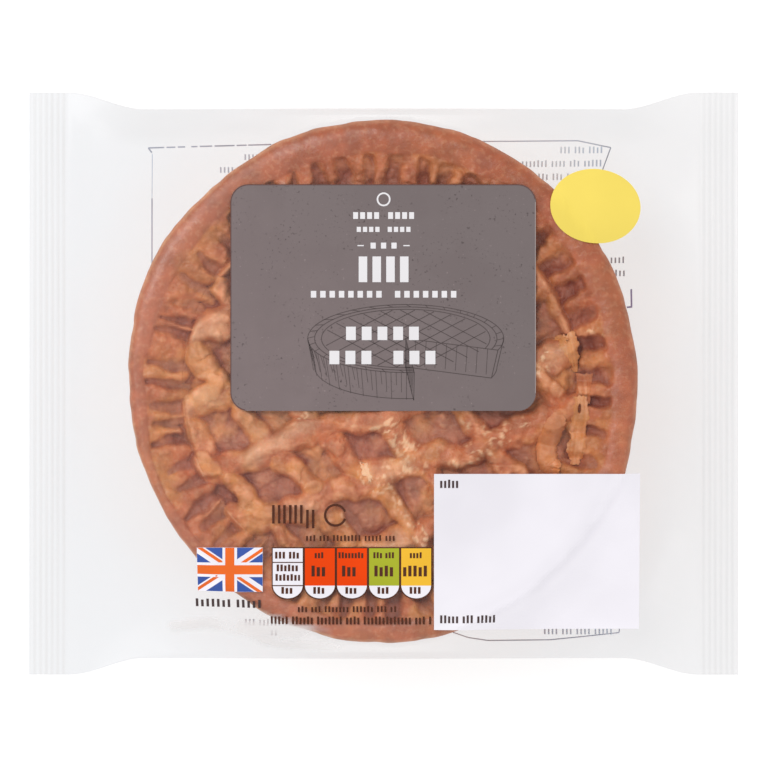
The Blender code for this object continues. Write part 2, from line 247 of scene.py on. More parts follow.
# ---- Node helpers ----------------------------------------------------------
class Wiring:
    """Adds and links the nodes of one tree."""

    def __init__(self, tree: bpy.types.NodeTree) -> None:
        """Keep the tree that the nodes go into."""
        self.tree = tree

    def node(self, kind: str, **inputs: object) -> bpy.types.Node:
        """Add a node and fill its inputs.

        Args:
            kind: The node's type name, without ShaderNode.
            inputs: A value or a socket for each input, by its name with _ for a space.

        Returns:
            The new node.
        """
        made = self.tree.nodes.new("ShaderNode" + kind)
        for label, value in inputs.items():
            self.feed(made.inputs[label.replace("_", " ")], value)
        return made

    def feed(self, socket: Socket, value: object) -> None:
        """Link a socket to value, or set it if value is a number or colour.

        Args:
            socket: An input of a node.
            value: A socket, a number or a colour.
        """
        if isinstance(value, Socket):
            self.tree.links.new(value, socket)
        elif isinstance(value, tuple) and socket.type == "RGBA":
            socket.default_value = (*value[:3], 1.0)
        else:
            socket.default_value = value

    def math(self, rule: str, first: object, second: object = 0.0) -> Socket:
        """Combine two values by a Math node and give its output.

        Args:
            rule: The node's operation.
            first: A number or a socket.
            second: The same, where the rule has one.

        Returns:
            The result's socket.
        """
        made = self.tree.nodes.new("ShaderNodeMath")
        made.operation = rule
        self.feed(made.inputs[0], first)
        self.feed(made.inputs[1], second)
        return made.outputs[0]

    def plus(self, first: object, second: object, clamp: bool = False) -> Socket:
        """Add two values, and keep the sum from 0 to 1 if clamp is set."""
        total = self.math("ADD", first, second)
        total.node.use_clamp = clamp
        return total

    def times(self, first: object, second: object) -> Socket:
        """Multiply two values."""
        return self.math("MULTIPLY", first, second)

    def less(self, first: object, second: object) -> Socket:
        """Take the second value from the first."""
        return self.math("SUBTRACT", first, second)

    def span(self, value: object, low: float, high: float, start: float = 0.0, end: float = 1.0) -> Socket:
        """Map a value from low..high to start..end smoothly, and clamp it."""
        made = self.node("MapRange", Value=value, From_Min=low, From_Max=high, To_Min=start, To_Max=end)
        made.interpolation_type = "SMOOTHSTEP"
        return made.outputs[0]

    def mix(self, share: object, first: object, second: object, rule: str = "MIX") -> Socket:
        """Mix two colours and give the result's socket.

        Args:
            share: How much of the second is taken.
            first: A colour or a socket.
            second: The same.
            rule: How they are blended.

        Returns:
            The result's socket.
        """
        made = self.tree.nodes.new("ShaderNodeMix")
        made.data_type = "RGBA"
        made.blend_type = rule
        self.feed(made.inputs[0], share)
        self.feed(made.inputs[6], first)
        self.feed(made.inputs[7], second)
        return made.outputs[2]

    def mask(self, name: str) -> Socket:
        """Read a value that the mesh holds at its points."""
        made = self.tree.nodes.new("ShaderNodeAttribute")
        made.attribute_name = name
        return made.outputs["Fac"]

    def place(self) -> Socket:
        """Give the point's own coordinates in metres."""
        return self.tree.nodes.new("ShaderNodeTexCoord").outputs["Object"]

    def grain(self, size: float, detail: float = 2.0, place: object = None) -> Socket:
        """Noise from 0 to 1 with bumps about size millimetres across."""
        vector = self.place() if place is None else place
        made = self.node("TexNoise", Vector=vector, Scale=1.0 / (size * MM), Detail=detail)
        return made.outputs["Fac"]

    def group(self, tree: bpy.types.NodeTree, **inputs: object) -> bpy.types.Node:
        """Place a shared group and fill its inputs.

        Args:
            tree: The group.
            inputs: A value or a socket for each input.

        Returns:
            The new node.
        """
        made = self.tree.nodes.new("ShaderNodeGroup")
        made.node_tree = tree
        for label, value in inputs.items():
            self.feed(made.inputs[label.replace("_", " ")], value)
        return made

    def relief(self, height: object, depth: float, share: float = 1.0) -> Socket:
        """Turn a height of depth millimetres into a normal."""
        return self.node("Bump", Height=height, Distance=depth * MM, Strength=share).outputs[0]


def start_material(name: str) -> tuple[bpy.types.Material, Wiring, bpy.types.Node, bpy.types.Node]:
    """Make a node material.

    Args:
        name: The material's name.

    Returns:
        The material, its wiring, its Principled node and its output node.
    """
    made = bpy.data.materials.new(name)
    made.use_nodes = True
    nodes = made.node_tree.nodes
    return made, Wiring(made.node_tree), nodes["Principled BSDF"], nodes["Material Output"]


def mottle_group() -> bpy.types.NodeTree:
    """Shared uneven tone: broad clouds, middle blotches and fine grain.

    Returns:
        A group with a Size input in millimetres and three outputs from 0 to 1.
    """
    tree = bpy.data.node_groups.new("uneven_tone", "ShaderNodeTree")
    size = tree.interface.new_socket("Size", in_out="INPUT", socket_type="NodeSocketFloat")
    size.default_value = 12.0
    for label in ("Broad", "Middle", "Fine"):
        tree.interface.new_socket(label, in_out="OUTPUT", socket_type="NodeSocketFloat")
    wires = Wiring(tree)
    start = tree.nodes.new("NodeGroupInput")
    end = tree.nodes.new("NodeGroupOutput")
    place = wires.place()
    scale = wires.math("DIVIDE", 1000.0, start.outputs["Size"])
    for label, times, detail in (("Broad", 1.0, 2.0), ("Middle", 3.1, 2.0), ("Fine", 11.0, 1.0)):
        made = wires.node("TexNoise", Vector=place, Scale=wires.times(scale, times), Detail=detail)
        wires.feed(end.inputs[label], wires.span(made.outputs["Fac"], 0.3, 0.7))
    return tree


# ---- Finishes --------------------------------------------------------------
@dataclass(frozen=True)
class PastryFinish:
    """Baked hot-water pastry: glazed and mottled, with painted shade in its creases,
    hollows and crimp slots and painted highlights on its crowns and outer edge.

    Each share says how far a mask takes the colour to its own. Sizes are in
    millimetres.
    """

    name: str = "baked_pastry"
    rose: Colour = (0.59, 0.160, 0.056)
    tan: Colour = (0.70, 0.262, 0.072)
    rim: Colour = (0.505, 0.146, 0.070)
    # The crumbs' colour, and that of painted highlights: glints, patches on crests and the rim's edge line.
    pale: Colour = (0.92, 0.54, 0.31)
    # Painted highlight: the peach colour that raised places are lightened to.
    crown: Colour = (0.82, 0.350, 0.175)
    # Painted shade: the colour that creases and hollows are darkened to.
    deep: Colour = (0.24, 0.033, 0.006)
    # Painted shade: the colour that the crimp slots are darkened to.
    recess: Colour = (0.27, 0.070, 0.042)
    mauve: Colour = (0.43, 0.136, 0.074)
    ochre: Colour = (0.70, 0.275, 0.090)
    baked: Colour = (0.35, 0.072, 0.018)
    band_share: float = 0.75
    bake_share: float = 0.55
    well_share: float = 0.85
    slot_share: float = 0.80
    pit_share: float = 0.74
    fleck_share: float = 0.12
    cloud_size: float = 13.0
    fine_size: float = 4.0
    bump_depth: float = 0.28
    roughness: float = 0.48
    wet_roughness: float = 0.26

    def build(self, mottle: bpy.types.NodeTree) -> bpy.types.Material:
        """Make the material.

        Args:
            mottle: The shared group of uneven tone.

        Returns:
            A material that reads the crust's masks.
        """
        made, w, shader, _ = start_material(self.name)
        tone = w.group(mottle, Size=self.cloud_size).outputs
        fine = w.group(mottle, Size=self.fine_size).outputs
        band, pit = w.mask("band"), w.mask("pit")
        blotch = w.plus(w.times(tone["Broad"], 0.5), w.times(tone["Middle"], 0.5))
        swing = w.times(w.less(blotch, 0.5), w.less(0.8, w.times(band, 0.5)))
        colour = w.mix(w.plus(w.mask("gold"), swing, clamp=True), self.rose, self.tan)
        colour = w.mix(w.times(band, self.band_share), colour, self.rim)
        colour = w.mix(w.times(w.mask("bake"), self.bake_share), colour, self.baked)
        soup = w.mix(w.span(tone["Broad"], 0.25, 0.95), self.mauve, self.ochre)
        colour = w.mix(w.times(w.mask("well"), self.well_share), colour, soup)
        # Painted highlight on raised places, in patches.
        crest_highlight = w.plus(0.30, w.times(fine["Broad"], 0.60))
        colour = w.mix(w.times(w.mask("crown"), crest_highlight), colour, self.crown)
        flecks = w.times(w.span(fine["Middle"], 0.55, 1.0), self.fleck_share)
        light = w.plus(w.mask("pale"), w.times(flecks, w.less(1.0, pit)), clamp=True)
        # Pale crumbs and flecks, with painted highlights on crests and the rim's edge among them.
        colour = w.mix(light, colour, self.pale)
        # Painted shade in the crimp slots.
        colour = w.mix(w.times(w.mask("slot"), self.slot_share), colour, self.recess)
        # Painted shade: creases and hollows darkened to the deep colour.
        colour = w.mix(w.times(pit, self.pit_share), colour, self.deep)
        shade = w.plus(0.80, w.times(fine["Broad"], 0.22))
        shade = w.plus(shade, w.times(tone["Middle"], 0.16))
        grey = w.node("CombineColor", Red=shade, Green=shade, Blue=shade).outputs[0]
        colour = w.mix(1.0, colour, grey, "MULTIPLY")
        w.feed(shader.inputs["Base Color"], colour)
        dry = w.less(1.0, w.mask("wet"))
        rough = w.plus(self.wet_roughness, w.times(dry, self.roughness - self.wet_roughness))
        w.feed(shader.inputs["Roughness"], w.plus(rough, w.times(fine["Fine"], 0.1)))
        bumps = w.plus(w.grain(1.1, 3.0), w.times(w.grain(0.45, 1.0), 0.4))
        bumps = w.times(bumps, w.less(1.0, w.times(band, 0.6)))
        w.feed(shader.inputs["Normal"], w.relief(bumps, self.bump_depth, 0.8))
        shader.inputs["Subsurface Weight"].default_value = 0.10
        shader.inputs["Subsurface Scale"].default_value = 1.5 * MM
        shader.inputs["Subsurface Radius"].default_value = (1.0, 0.35, 0.18)
        return made


@dataclass(frozen=True)
class FilmFinish:
    """Clear glossy wrapping film with a faint milky haze, painted shade on the seals' ribs,
    the far side and the creases, and a warmer tint that round the pie is a painted reflection of it.
    """

    name: str = "clear_film"
    tint: Colour = (0.922, 0.928, 0.937)
    # A warmer tint, which round the pie is a painted reflection of it.
    warm_tint_and_reflection: Colour = (0.927, 0.918, 0.916)
    # A greyer tint: painted shade on the seals' ribs, the far side and the creases.
    film_shade: Colour = (0.888, 0.889, 0.893)
    milk: Colour = (0.93, 0.88, 0.87)
    roughness: float = 0.22
    mirror: float = 0.012

    def build(self) -> bpy.types.Material:
        """Make the material, which reads the film's haze mask."""
        made, w, shader, output = start_material(self.name)
        dim_milk = tuple(0.97 * c for c in self.milk)
        w.feed(shader.inputs["Base Color"], w.mix(w.grain(20.0), self.milk, dim_milk))
        shader.inputs["Roughness"].default_value = 0.5
        # The film's tint carries painted shade and a warmer tone that round the pie is a painted reflection.
        tint = w.mix(w.mask("film_shade"), w.mix(w.mask("warm_tint_and_reflection"), self.tint, self.warm_tint_and_reflection), self.film_shade)
        clear = w.node("BsdfTransparent", Color=tint)
        ripple = w.relief(w.grain(7.0, 1.0), 0.25, 0.35)
        gloss = w.node("BsdfGlossy", Color=(1.0, 1.0, 1.0), Roughness=self.roughness, Normal=ripple)
        facing = w.node("LayerWeight", Blend=0.5).outputs["Facing"]
        mirror = w.plus(self.mirror, w.times(w.math("POWER", facing, 5.0), 0.7))
        veil = w.node("MixShader", Fac=w.mask("haze"))
        w.tree.links.new(clear.outputs[0], veil.inputs[1])
        w.tree.links.new(shader.outputs[0], veil.inputs[2])
        whole = w.node("MixShader", Fac=mirror)
        w.tree.links.new(veil.outputs[0], whole.inputs[1])
        w.tree.links.new(gloss.outputs[0], whole.inputs[2])
        w.tree.links.new(whole.outputs[0], output.inputs["Surface"])
        return made


@dataclass(frozen=True)
class InkFinish:
    """Print on film: a flat colour with faint unevenness and a soft gloss.

    far is the colour towards the upper right, and through the strength of a painted glow:
    the print emits its own colour beyond the pie's rim, standing for the floor's light
    that shines through thin print. It comes in two steps, each between two distances
    from the middle, in metres.
    """

    name: str
    colour: Colour
    unevenness: float = 0.04
    specks: float = 0.0
    far: Optional[Colour] = None
    # Strength of the painted glow beyond the pie's rim.
    through: float = 0.0
    roughness: float = 0.42
    first_step: Point = (0.025, 0.060)
    rim_step: Point = (0.0617, 0.0668)
    first_share: float = 0.25

    def painted_glow_share(self, w: Wiring) -> Socket:
        """Strength of the painted glow: emission beyond the pie's rim that stands for the floor's light
        shining through.

        Args:
            w: Wiring of the print's material.

        Returns:
            The share's socket.
        """
        spread = w.node("SeparateXYZ", Vector=w.place()).outputs
        squares = w.plus(w.math("POWER", spread["X"], 2.0), w.math("POWER", spread["Y"], 2.0))
        reach = w.math("SQRT", squares)
        first = w.span(reach, *self.first_step, 0.0, self.first_share * self.through)
        return w.plus(first, w.span(reach, *self.rim_step, 0.0, (1.0 - self.first_share) * self.through))

    def build(self, mottle: bpy.types.NodeTree) -> bpy.types.Material:
        """Make the material.

        Args:
            mottle: The shared group of uneven tone.

        Returns:
            The print's material.
        """
        made, w, shader, _ = start_material(self.name)
        tone = w.group(mottle, Size=22.0).outputs
        low = tuple(c * (1.0 - self.unevenness) for c in self.colour)
        high = tuple(min(1.0, c * (1.0 + self.unevenness)) for c in self.colour)
        colour = w.mix(tone["Broad"], low, high)
        if self.far is not None:
            spread = w.node("SeparateXYZ", Vector=w.place()).outputs
            across = w.plus(spread["X"], spread["Y"])
            colour = w.mix(w.span(across, -0.03, 0.06), colour, self.far)
        if self.specks:
            cloud = w.plus(w.times(tone["Broad"], 0.6), w.times(tone["Middle"], 0.4))
            cloudy = tuple(c * 0.74 for c in self.colour)
            colour = w.mix(w.span(cloud, 0.2, 0.9, 0.0, 0.30), colour, cloudy)
            dots = w.grain(0.75, 3.0)
            where = w.span(w.grain(9.0, 1.0), 0.40, 0.62)
            dark = w.times(w.times(w.span(dots, 0.40, 0.27), where), self.specks)
            light = w.times(w.span(dots, 0.66, 0.80), 0.5 * self.specks)
            colour = w.mix(dark, colour, tuple(c * 0.45 for c in self.colour))
            colour = w.mix(light, colour, tuple(min(1.0, c * 1.7) for c in self.colour))
        w.feed(shader.inputs["Base Color"], colour)
        w.feed(shader.inputs["Roughness"], w.plus(self.roughness, w.times(tone["Fine"], 0.08)))
        shader.inputs["Specular IOR Level"].default_value = 0.06
        # Painted glow: the print emits its own colour beyond the pie's rim.
        if self.through:
            w.feed(shader.inputs["Emission Color"], colour)
            w.feed(shader.inputs["Emission Strength"], self.painted_glow_share(w))
        return made


class Ink(Enum):
    """The inks of the print, with the finish of each."""

    SLATE = InkFinish("slate_ink", (0.216, 0.172, 0.173), 0.05, 0.95, far=(0.188, 0.156, 0.156))
    # A painted shadow along the slate panel's upper and left edge, and a painted highlight along its right
    # edge.
    SLATE_EDGE_SHADOW = InkFinish("painted_edge_shadow_ink", (0.135, 0.075, 0.068))
    SLATE_EDGE_HIGHLIGHT = InkFinish("painted_edge_highlight_ink", (0.36, 0.30, 0.29))
    WHITE = InkFinish("white_ink", (0.80, 0.78, 0.80), 0.02)
    # The panel white and the yellow ink carry a painted glow beyond the pie's rim.
    PANEL_WHITE = InkFinish("panel_white_ink", (0.822, 0.798, 0.852), 0.03, through=0.24)
    SKETCH = InkFinish("sketch_ink", (0.098, 0.078, 0.078), 0.1)
    YELLOW = InkFinish("yellow_ink", (0.84, 0.660, 0.125), 0.03, through=0.16)
    RED = InkFinish("orange_red_ink", (0.84, 0.060, 0.003), 0.06)
    GREEN = InkFinish("green_ink", (0.39, 0.43, 0.030), 0.06)
    AMBER = InkFinish("amber_ink", (0.86, 0.49, 0.040), 0.06)
    BLUE = InkFinish("blue_ink", (0.050, 0.105, 0.39), 0.06)
    FLAG_RED = InkFinish("flag_red_ink", (0.85, 0.155, 0.025), 0.05)
    BROWN = InkFinish("brown_ink", (0.085, 0.030, 0.018), 0.15)
    CHARCOAL = InkFinish("charcoal_ink", (0.075, 0.050, 0.050), 0.1)
    BACK_LINE = InkFinish("back_line_ink", (0.45, 0.50, 0.60), 0.25)
    BACK_TEXT = InkFinish("back_text_ink", (0.62, 0.74, 0.92), 0.2)
    BACK_BLUE = InkFinish("back_blue_ink", (0.36, 0.36, 0.66), 0.2)


# ---- The pie's shape -------------------------------------------------------
@dataclass(frozen=True)
class Lattice:
    """One family of parallel pastry strands on the lid."""

    angle: float
    offsets: tuple[float, ...]
    half_width: float
    top: float
    seed: int
    wander: float = 1.3

    def lay(self, x: Array, y: Array, floor: Array) -> tuple[Array, Array]:
        """Work out the strands' upper surface.

        Args:
            x: Places along X.
            y: Places along Y.
            floor: Height of the lid under the strands.

        Returns:
            The height where a strand lies, else the floor, and a value from
            0 at a strand's edge to 1 on its crown.
        """
        turn = math.radians(self.angle)
        along = x * math.cos(turn) + y * math.sin(turn)
        across = y * math.cos(turn) - x * math.sin(turn)
        height, crown = floor.copy(), np.zeros(x.shape)
        for number, offset in enumerate(self.offsets):
            seed = self.seed + 17 * number
            still = np.full(x.shape, 50.0 * number)
            line = offset + self.wander * noise(along, still, 15.0, seed)
            line = line + 0.45 * noise(along, still, 5.0, seed + 1)
            half = self.half_width * (1 + 0.24 * noise(along, still, 8.0, seed + 2))
            half = half * (1 + 0.14 * noise(along, np.sign(across - line) * 9.0, 2.8, seed + 3))
            edge = np.clip(np.abs(across - line) / half, 0.0, 1.0)
            dome = (1.0 - edge**2.3) ** 0.72
            top = self.top + 0.55 * noise(along, still, 11.0, seed + 4)
            top = top + 0.40 * noise(along, still, 4.2, seed + 5)
            rise = floor + (top - floor) * dome
            crown = np.where((edge < 1.0) & (rise > height), dome, crown)
            height = np.where(edge < 1.0, merge(rise, height, 1.4), height)
        return height, crown


@dataclass
class CrustField:
    """Height and masks of the crust at many places."""

    height: Array
    band: Array
    finger: Array
    strand: Array
    gold: Array
    well: Array
    slot: Array
    pale: Array


@dataclass(frozen=True)
class CrumbStreak:
    """A run of pale broken crumbs on the crust, which partly stands for wet glints as a painted highlight."""

    start: Point
    end: Point
    width: float

    def reach(self, x: Array, y: Array) -> Array:
        """Share of the streak at each place, 1 on its line and 0 beyond it.

        Args:
            x: Places along X.
            y: Places along Y.

        Returns:
            The share at each place.
        """
        dx, dy = self.end[0] - self.start[0], self.end[1] - self.start[1]
        share = ((x - self.start[0]) * dx + (y - self.start[1]) * dy) / (dx * dx + dy * dy)
        share = np.clip(share, 0.0, 1.0)
        gap = np.hypot(x - self.start[0] - share * dx, y - self.start[1] - share * dy)
        return smooth(self.width, 0.4 * self.width, gap)


@dataclass(frozen=True)
class Knob:
    """A round lump of pastry, such as the end of a strand."""

    spot: Point
    radius: float
    rise: float

    def lay(self, x: Array, y: Array) -> Array:
        """Height that the lump adds at each place."""
        share = np.clip(np.hypot(x - self.spot[0], y - self.spot[1]) / self.radius, 0.0, 1.0)
        return self.rise * (1.0 - share**2) ** 0.8


@dataclass(frozen=True)
class CrimpRing:
    """The crimps inside the rim's band: fingers with soft slots between them.

    They stand closer together towards -X, where the slots are shallow creases
    that widen inwards. first is the angle of the first slot, in degrees, and
    crowding how much closer the fingers stand at -X.
    """

    centre: Point = (-0.6, -1.7)
    outer: float = 58.6
    far_side: float = 1.5
    left_side: float = 1.5
    inner: float = 48.8
    count: int = 54
    crowding: float = 0.17
    first: float = 4.4
    top: float = 38.3
    slot_half: tuple[float, float] = (1.45, 2.10)
    seed: int = 12

    def polar(self, x: Array, y: Array) -> tuple[Array, Array]:
        """Distance and angle of each place from the ring's centre."""
        dx, dy = x - self.centre[0], y - self.centre[1]
        return np.hypot(dx, dy), np.arctan2(dy, dx)

    def outer_at(self, angle: Array) -> Array:
        """Radius where the fingers end, which is larger towards +Y and -X."""
        further = self.far_side * smooth(0.35, 0.90, np.sin(angle))
        return self.outer + np.maximum(further, self.left_side * smooth(0.45, 0.90, -np.cos(angle)))

    def turns(self, angle: Array) -> Array:
        """Number of slots passed from angle 0, in whole and part slots."""
        return self.count / (2 * math.pi) * (angle - self.crowding * np.sin(angle))

    def lay(self, x: Array, y: Array, floor: Array) -> tuple[Array, Array, Array]:
        """Work out the fingers and the slots between them.

        Args:
            x: Places along X.
            y: Places along Y.
            floor: Height of the lid beside the fingers.

        Returns:
            The height, a value from 0 to 1 on a finger's crown, and the strength
            of the painted shade in a slot, from 0 to 1.
        """
        rng = np.random.default_rng(self.seed)
        radius, angle = self.polar(x, y)
        first = self.turns(np.array(math.radians(self.first)))
        round_it = np.linspace(0.0, 2 * math.pi, 721)
        spots = np.interp((np.arange(self.count) + first) % self.count, self.turns(round_it), round_it)
        left = smooth(-0.35, 0.75, -np.cos(spots))
        shift = rng.uniform(-0.16, 0.16, self.count) * (0.45 + left)
        half = rng.uniform(*self.slot_half, self.count) * (1.0 - 0.56 * left)
        depth = rng.uniform(0.65, 1.0, self.count) * (1.0 - 0.15 * left)
        outer = self.outer_at(angle)
        end = self.outer_at(spots) - rng.uniform(0.0, 2.6, self.count) * (0.30 + 0.70 * left)
        leftward = smooth(-0.35, 0.75, -np.cos(angle))
        level = rng.uniform(-0.9, 0.35, self.count)
        front = self.inner + rng.uniform(-1.4, 1.6, self.count)
        lean = 0.012 * noise(x, y, 6.0, 21)
        turn = (self.turns(angle + lean) - first) % self.count
        pitch = 2 * math.pi / self.count / (1.0 - self.crowding * np.cos(angle))
        slot, bottom_end, deep = np.zeros(x.shape), outer, np.ones(x.shape)
        nearest = np.full(x.shape, 99.0)
        for step in (-1, 0, 1, 2):
            number = (np.floor(turn) + step).astype(int) % self.count
            off = (turn - np.floor(turn) - step - shift[number]) * pitch
            side = np.abs(off) * radius
            widen = 0.9 * left[number] * smooth(end[number], end[number] - 7.0, radius)
            wide = half[number] * (1.0 + 0.16 * noise(x, y, 3.4, 22) + widen)
            past = np.clip(radius - (end[number] - 0.75 * wide), 0.0, None)
            gap = np.maximum(side, past) * 0.30 + np.hypot(side, past) * 0.70
            gap = gap / wide + 0.16 * noise(x, y, 1.5, 25) + 0.20 * noise(x, y, 3.1, 26)
            share = smooth(1.34, 0.50, gap)
            bottom_end = np.where(share > slot, end[number], bottom_end)
            deep = np.where(share > slot, depth[number], deep)
            slot = np.maximum(slot, share)
            nearest = np.minimum(nearest, np.clip(gap - 1.0, 0.0, None) * wide)
        finger = np.floor(turn).astype(int) % self.count
        across = np.clip((turn - np.floor(turn) - 0.5) * 2.0, -1.0, 1.0)
        share = np.clip((front[finger] + 2.6 + 1.6 * across**2 - radius) / 2.6, 0.0, 1.0)
        cap = np.sqrt(1.0 - share**2)
        shoulder = np.clip(1.0 - nearest / 1.7, 0.0, 1.0) ** 2 * smooth(0.5, -3.0, radius - outer)
        inward = smooth(0.0, 1.0, (outer - radius) / (outer - self.inner))
        top = self.top + level[finger] * inward - 0.7 * inward**2 - 0.75 * shoulder
        rise = smooth(-5.0, 0.6, (radius - bottom_end) / (1.0 + 0.5 * leftward))
        bottom = (floor + 0.6) * (1.0 - rise) + (self.top - 1.4) * rise + 0.6 * noise(x, y, 2.6, 24)
        height = floor + (top - floor) * cap
        height = height + (np.minimum(bottom, height) - height) * slot * deep
        crown = cap * (1.0 - slot) * (1.0 - 0.6 * shoulder)
        # Painted shade in the slots: stronger in deep slots and away from their outer ends.
        dark = smooth(self.inner - 1.0, self.inner + 1.5, radius) * deep
        dark = dark * (0.55 + 0.45 * smooth(-0.5, -3.5 - 2.5 * leftward, radius - bottom_end))
        return height, crown, slot * dark


@dataclass(frozen=True)
class Swell:
    """A place where the pie's outline stands out, by its angle and width in degrees."""

    angle: float
    width: float
    rise: float

    def at(self, angle: Array) -> Array:
        """How far the outline stands out at each angle."""
        apart = np.degrees(np.arccos(np.clip(np.cos(angle - math.radians(self.angle)), -1.0, 1.0)))
        return self.rise * np.exp(-((apart / self.width) ** 2))


@dataclass
class CrustShape:
    """The pie's upper surface: rim band, crimped fingers, lid and lattice."""

    centre: Point = (-0.15, 0.65)
    radii: Point = (64.4, 65.9)
    swells: tuple[Swell, ...] = (
        Swell(108.0, 10.0, 1.05), Swell(157.0, 17.0, 1.15), Swell(192.0, 11.0, 0.55),
        Swell(261.0, 10.0, 0.55), Swell(284.0, 10.0, 0.4), Swell(336.0, 7.0, 1.1),
        Swell(246.0, 6.0, 0.5), Swell(144.0, 5.0, 0.4))
    crest_height: float = 38.9
    highest: float = 38.4
    rim_drop: float = 3.0
    crimps: CrimpRing = CrimpRing()
    lid_height: float = 34.4
    lid_dome: float = 1.1
    base_radius: float = 57.0
    over: Lattice = field(default_factory=lambda: Lattice(
        18.0, (42.9, 26.6, 10.3, -6.0, -22.3, -38.6), 4.05, 38.5, 300))
    under: Lattice = field(default_factory=lambda: Lattice(
        -52.0, (-44.6, -32.2, -18.9, -4.9, 11.5, 31.6, 46.8), 3.15, 37.9, 700))
    knobs: tuple[Knob, ...] = (
        Knob((-44.7, -20.2), 3.9, 2.9), Knob((-45.6, -0.4), 4.4, 2.4), Knob((42.8, 0.6), 4.4, 1.8),
        Knob((9.2, -26.0), 2.0, 1.0), Knob((-30.5, -31.0), 3.4, 1.4))
    streaks: tuple[CrumbStreak, ...] = (
        CrumbStreak((1.2, -9.0), (9.2, -21.4), 2.0), CrumbStreak((2.6, -31.0), (9.2, -39.0), 2.6),
        CrumbStreak((39.6, 5.8), (43.8, 0.0), 2.6), CrumbStreak((40.6, 8.6), (42.6, 8.0), 1.0),
        CrumbStreak((-9.8, -33.0), (-8.6, -37.2), 1.6), CrumbStreak((20.0, -12.4), (21.8, -14.6), 1.4),
        CrumbStreak((31.4, -8.0), (35.2, -9.8), 2.5), CrumbStreak((28.0, -16.4), (32.2, -12.8), 2.3),
        CrumbStreak((18.4, -20.8), (24.0, -18.4), 2.5), CrumbStreak((52.2, 12.6), (56.6, 13.4), 1.5),
        CrumbStreak((8.4, -25.6), (10.0, -26.6), 1.7), CrumbStreak((-5.8, -20.4), (-3.6, -24.2), 1.9))
    scorch: Knob = Knob((-48.6, 28.0), 6.4, 1.0)

    def outline(self, angle: Array) -> Array:
        """Radius of the pie's widest line at each angle.

        Args:
            angle: Angles round the pie.

        Returns:
            The radius at each.
        """
        c, s = np.cos(angle), np.sin(angle)
        oval = 1.0 / np.sqrt((c / self.radii[0]) ** 2 + (s / self.radii[1]) ** 2)
        wave = 0.40 * noise(c * 40, s * 40, 21.0, 5) + 0.28 * noise(c * 40, s * 40, 5.0, 6)
        for swell in self.swells:
            wave = wave + swell.at(angle)
        return oval + self.centre[0] * c + self.centre[1] * s + wave + 0.16 * noise(c * 40, s * 40, 1.9, 7)

    def crimp_line(self, angle: Array) -> Array:
        """Radius, from the pie's centre, where the fingers meet the band.

        Args:
            angle: Angles round the pie.

        Returns:
            The radius at each.
        """
        cx, cy = self.crimps.centre
        c, s = np.cos(angle), np.sin(angle)
        ragged = self.crimps.outer_at(angle) + 0.7 * noise(c * 40, s * 40, 5.0, 8)
        return cx * c + cy * s + np.sqrt(ragged**2 - (cx * s - cy * c) ** 2)

    def band_height(self, share: Array) -> Array:
        """Height of the rim's smooth band, from its inner to its outer edge."""
        inner = 0.55 * np.clip((0.45 - share) / 0.45, 0.0, 1.0) ** 2
        outer = np.clip((share - 0.45) / 0.55, 0.0, 1.0)
        return self.crest_height - inner - self.rim_drop * (1.0 - np.sqrt(1.0 - outer**2))

    def lid_floor(self, x: Array, y: Array) -> tuple[Array, Array]:
        """Height of the lid under the strands, and how far its lumps rise.

        Args:
            x: Places along X.
            y: Places along Y.

        Returns:
            The height, and the lumps' rise from 0 to 1.
        """
        cell, level = speckle(x, y, 5.2, 47)
        lump = (1.0 - np.clip(cell / 0.8, 0.0, 1.0) ** 2) * (0.35 + 0.65 * level)
        floor = self.lid_height + self.lid_dome * (1.0 - np.clip(np.hypot(x, y) / 50.0, 0, 1) ** 2)
        return floor + 0.6 * layered(x, y, 6.0, 51) + 1.3 * (lump - 0.3), lump

    def crumbs(self, x: Array, y: Array, over: Array, band: Array, solid: Array) -> Array:
        """Share of pale broken crumbs at each place, on the crowns alone. They partly stand for wet glints as
        a painted highlight.

        Args:
            x: Places along X.
            y: Places along Y.
            over: Where the upper strands lie.
            band: Share of the rim's band.
            solid: Share of any crown.

        Returns:
            The crumbs' share.
        """
        patch = 0.75 * smooth(0.46, 0.8, layered(x, y, 11.0, 71, 2) + 0.15 * (1 - over) - 0.1 * band)
        patch = patch * smooth(51.0, 46.0, np.hypot(x, y))
        for streak in self.streaks:
            patch = np.maximum(patch, streak.reach(x, y))
        gap, value = speckle(x + 0.5 * noise(x, y, 1.1, 85), y + 0.5 * noise(x, y, 1.1, 86), 1.7, 81)
        gap = gap + 0.42 * (1 - value) + 0.20 * noise(x, y, 0.7, 84)
        bit = smooth(0.74, 0.36, gap) * (0.3 + 0.7 * value)
        return bit * smooth(0.1, 0.6, patch) * smooth(0.30, 0.75, solid) * (1 - 0.75 * band)

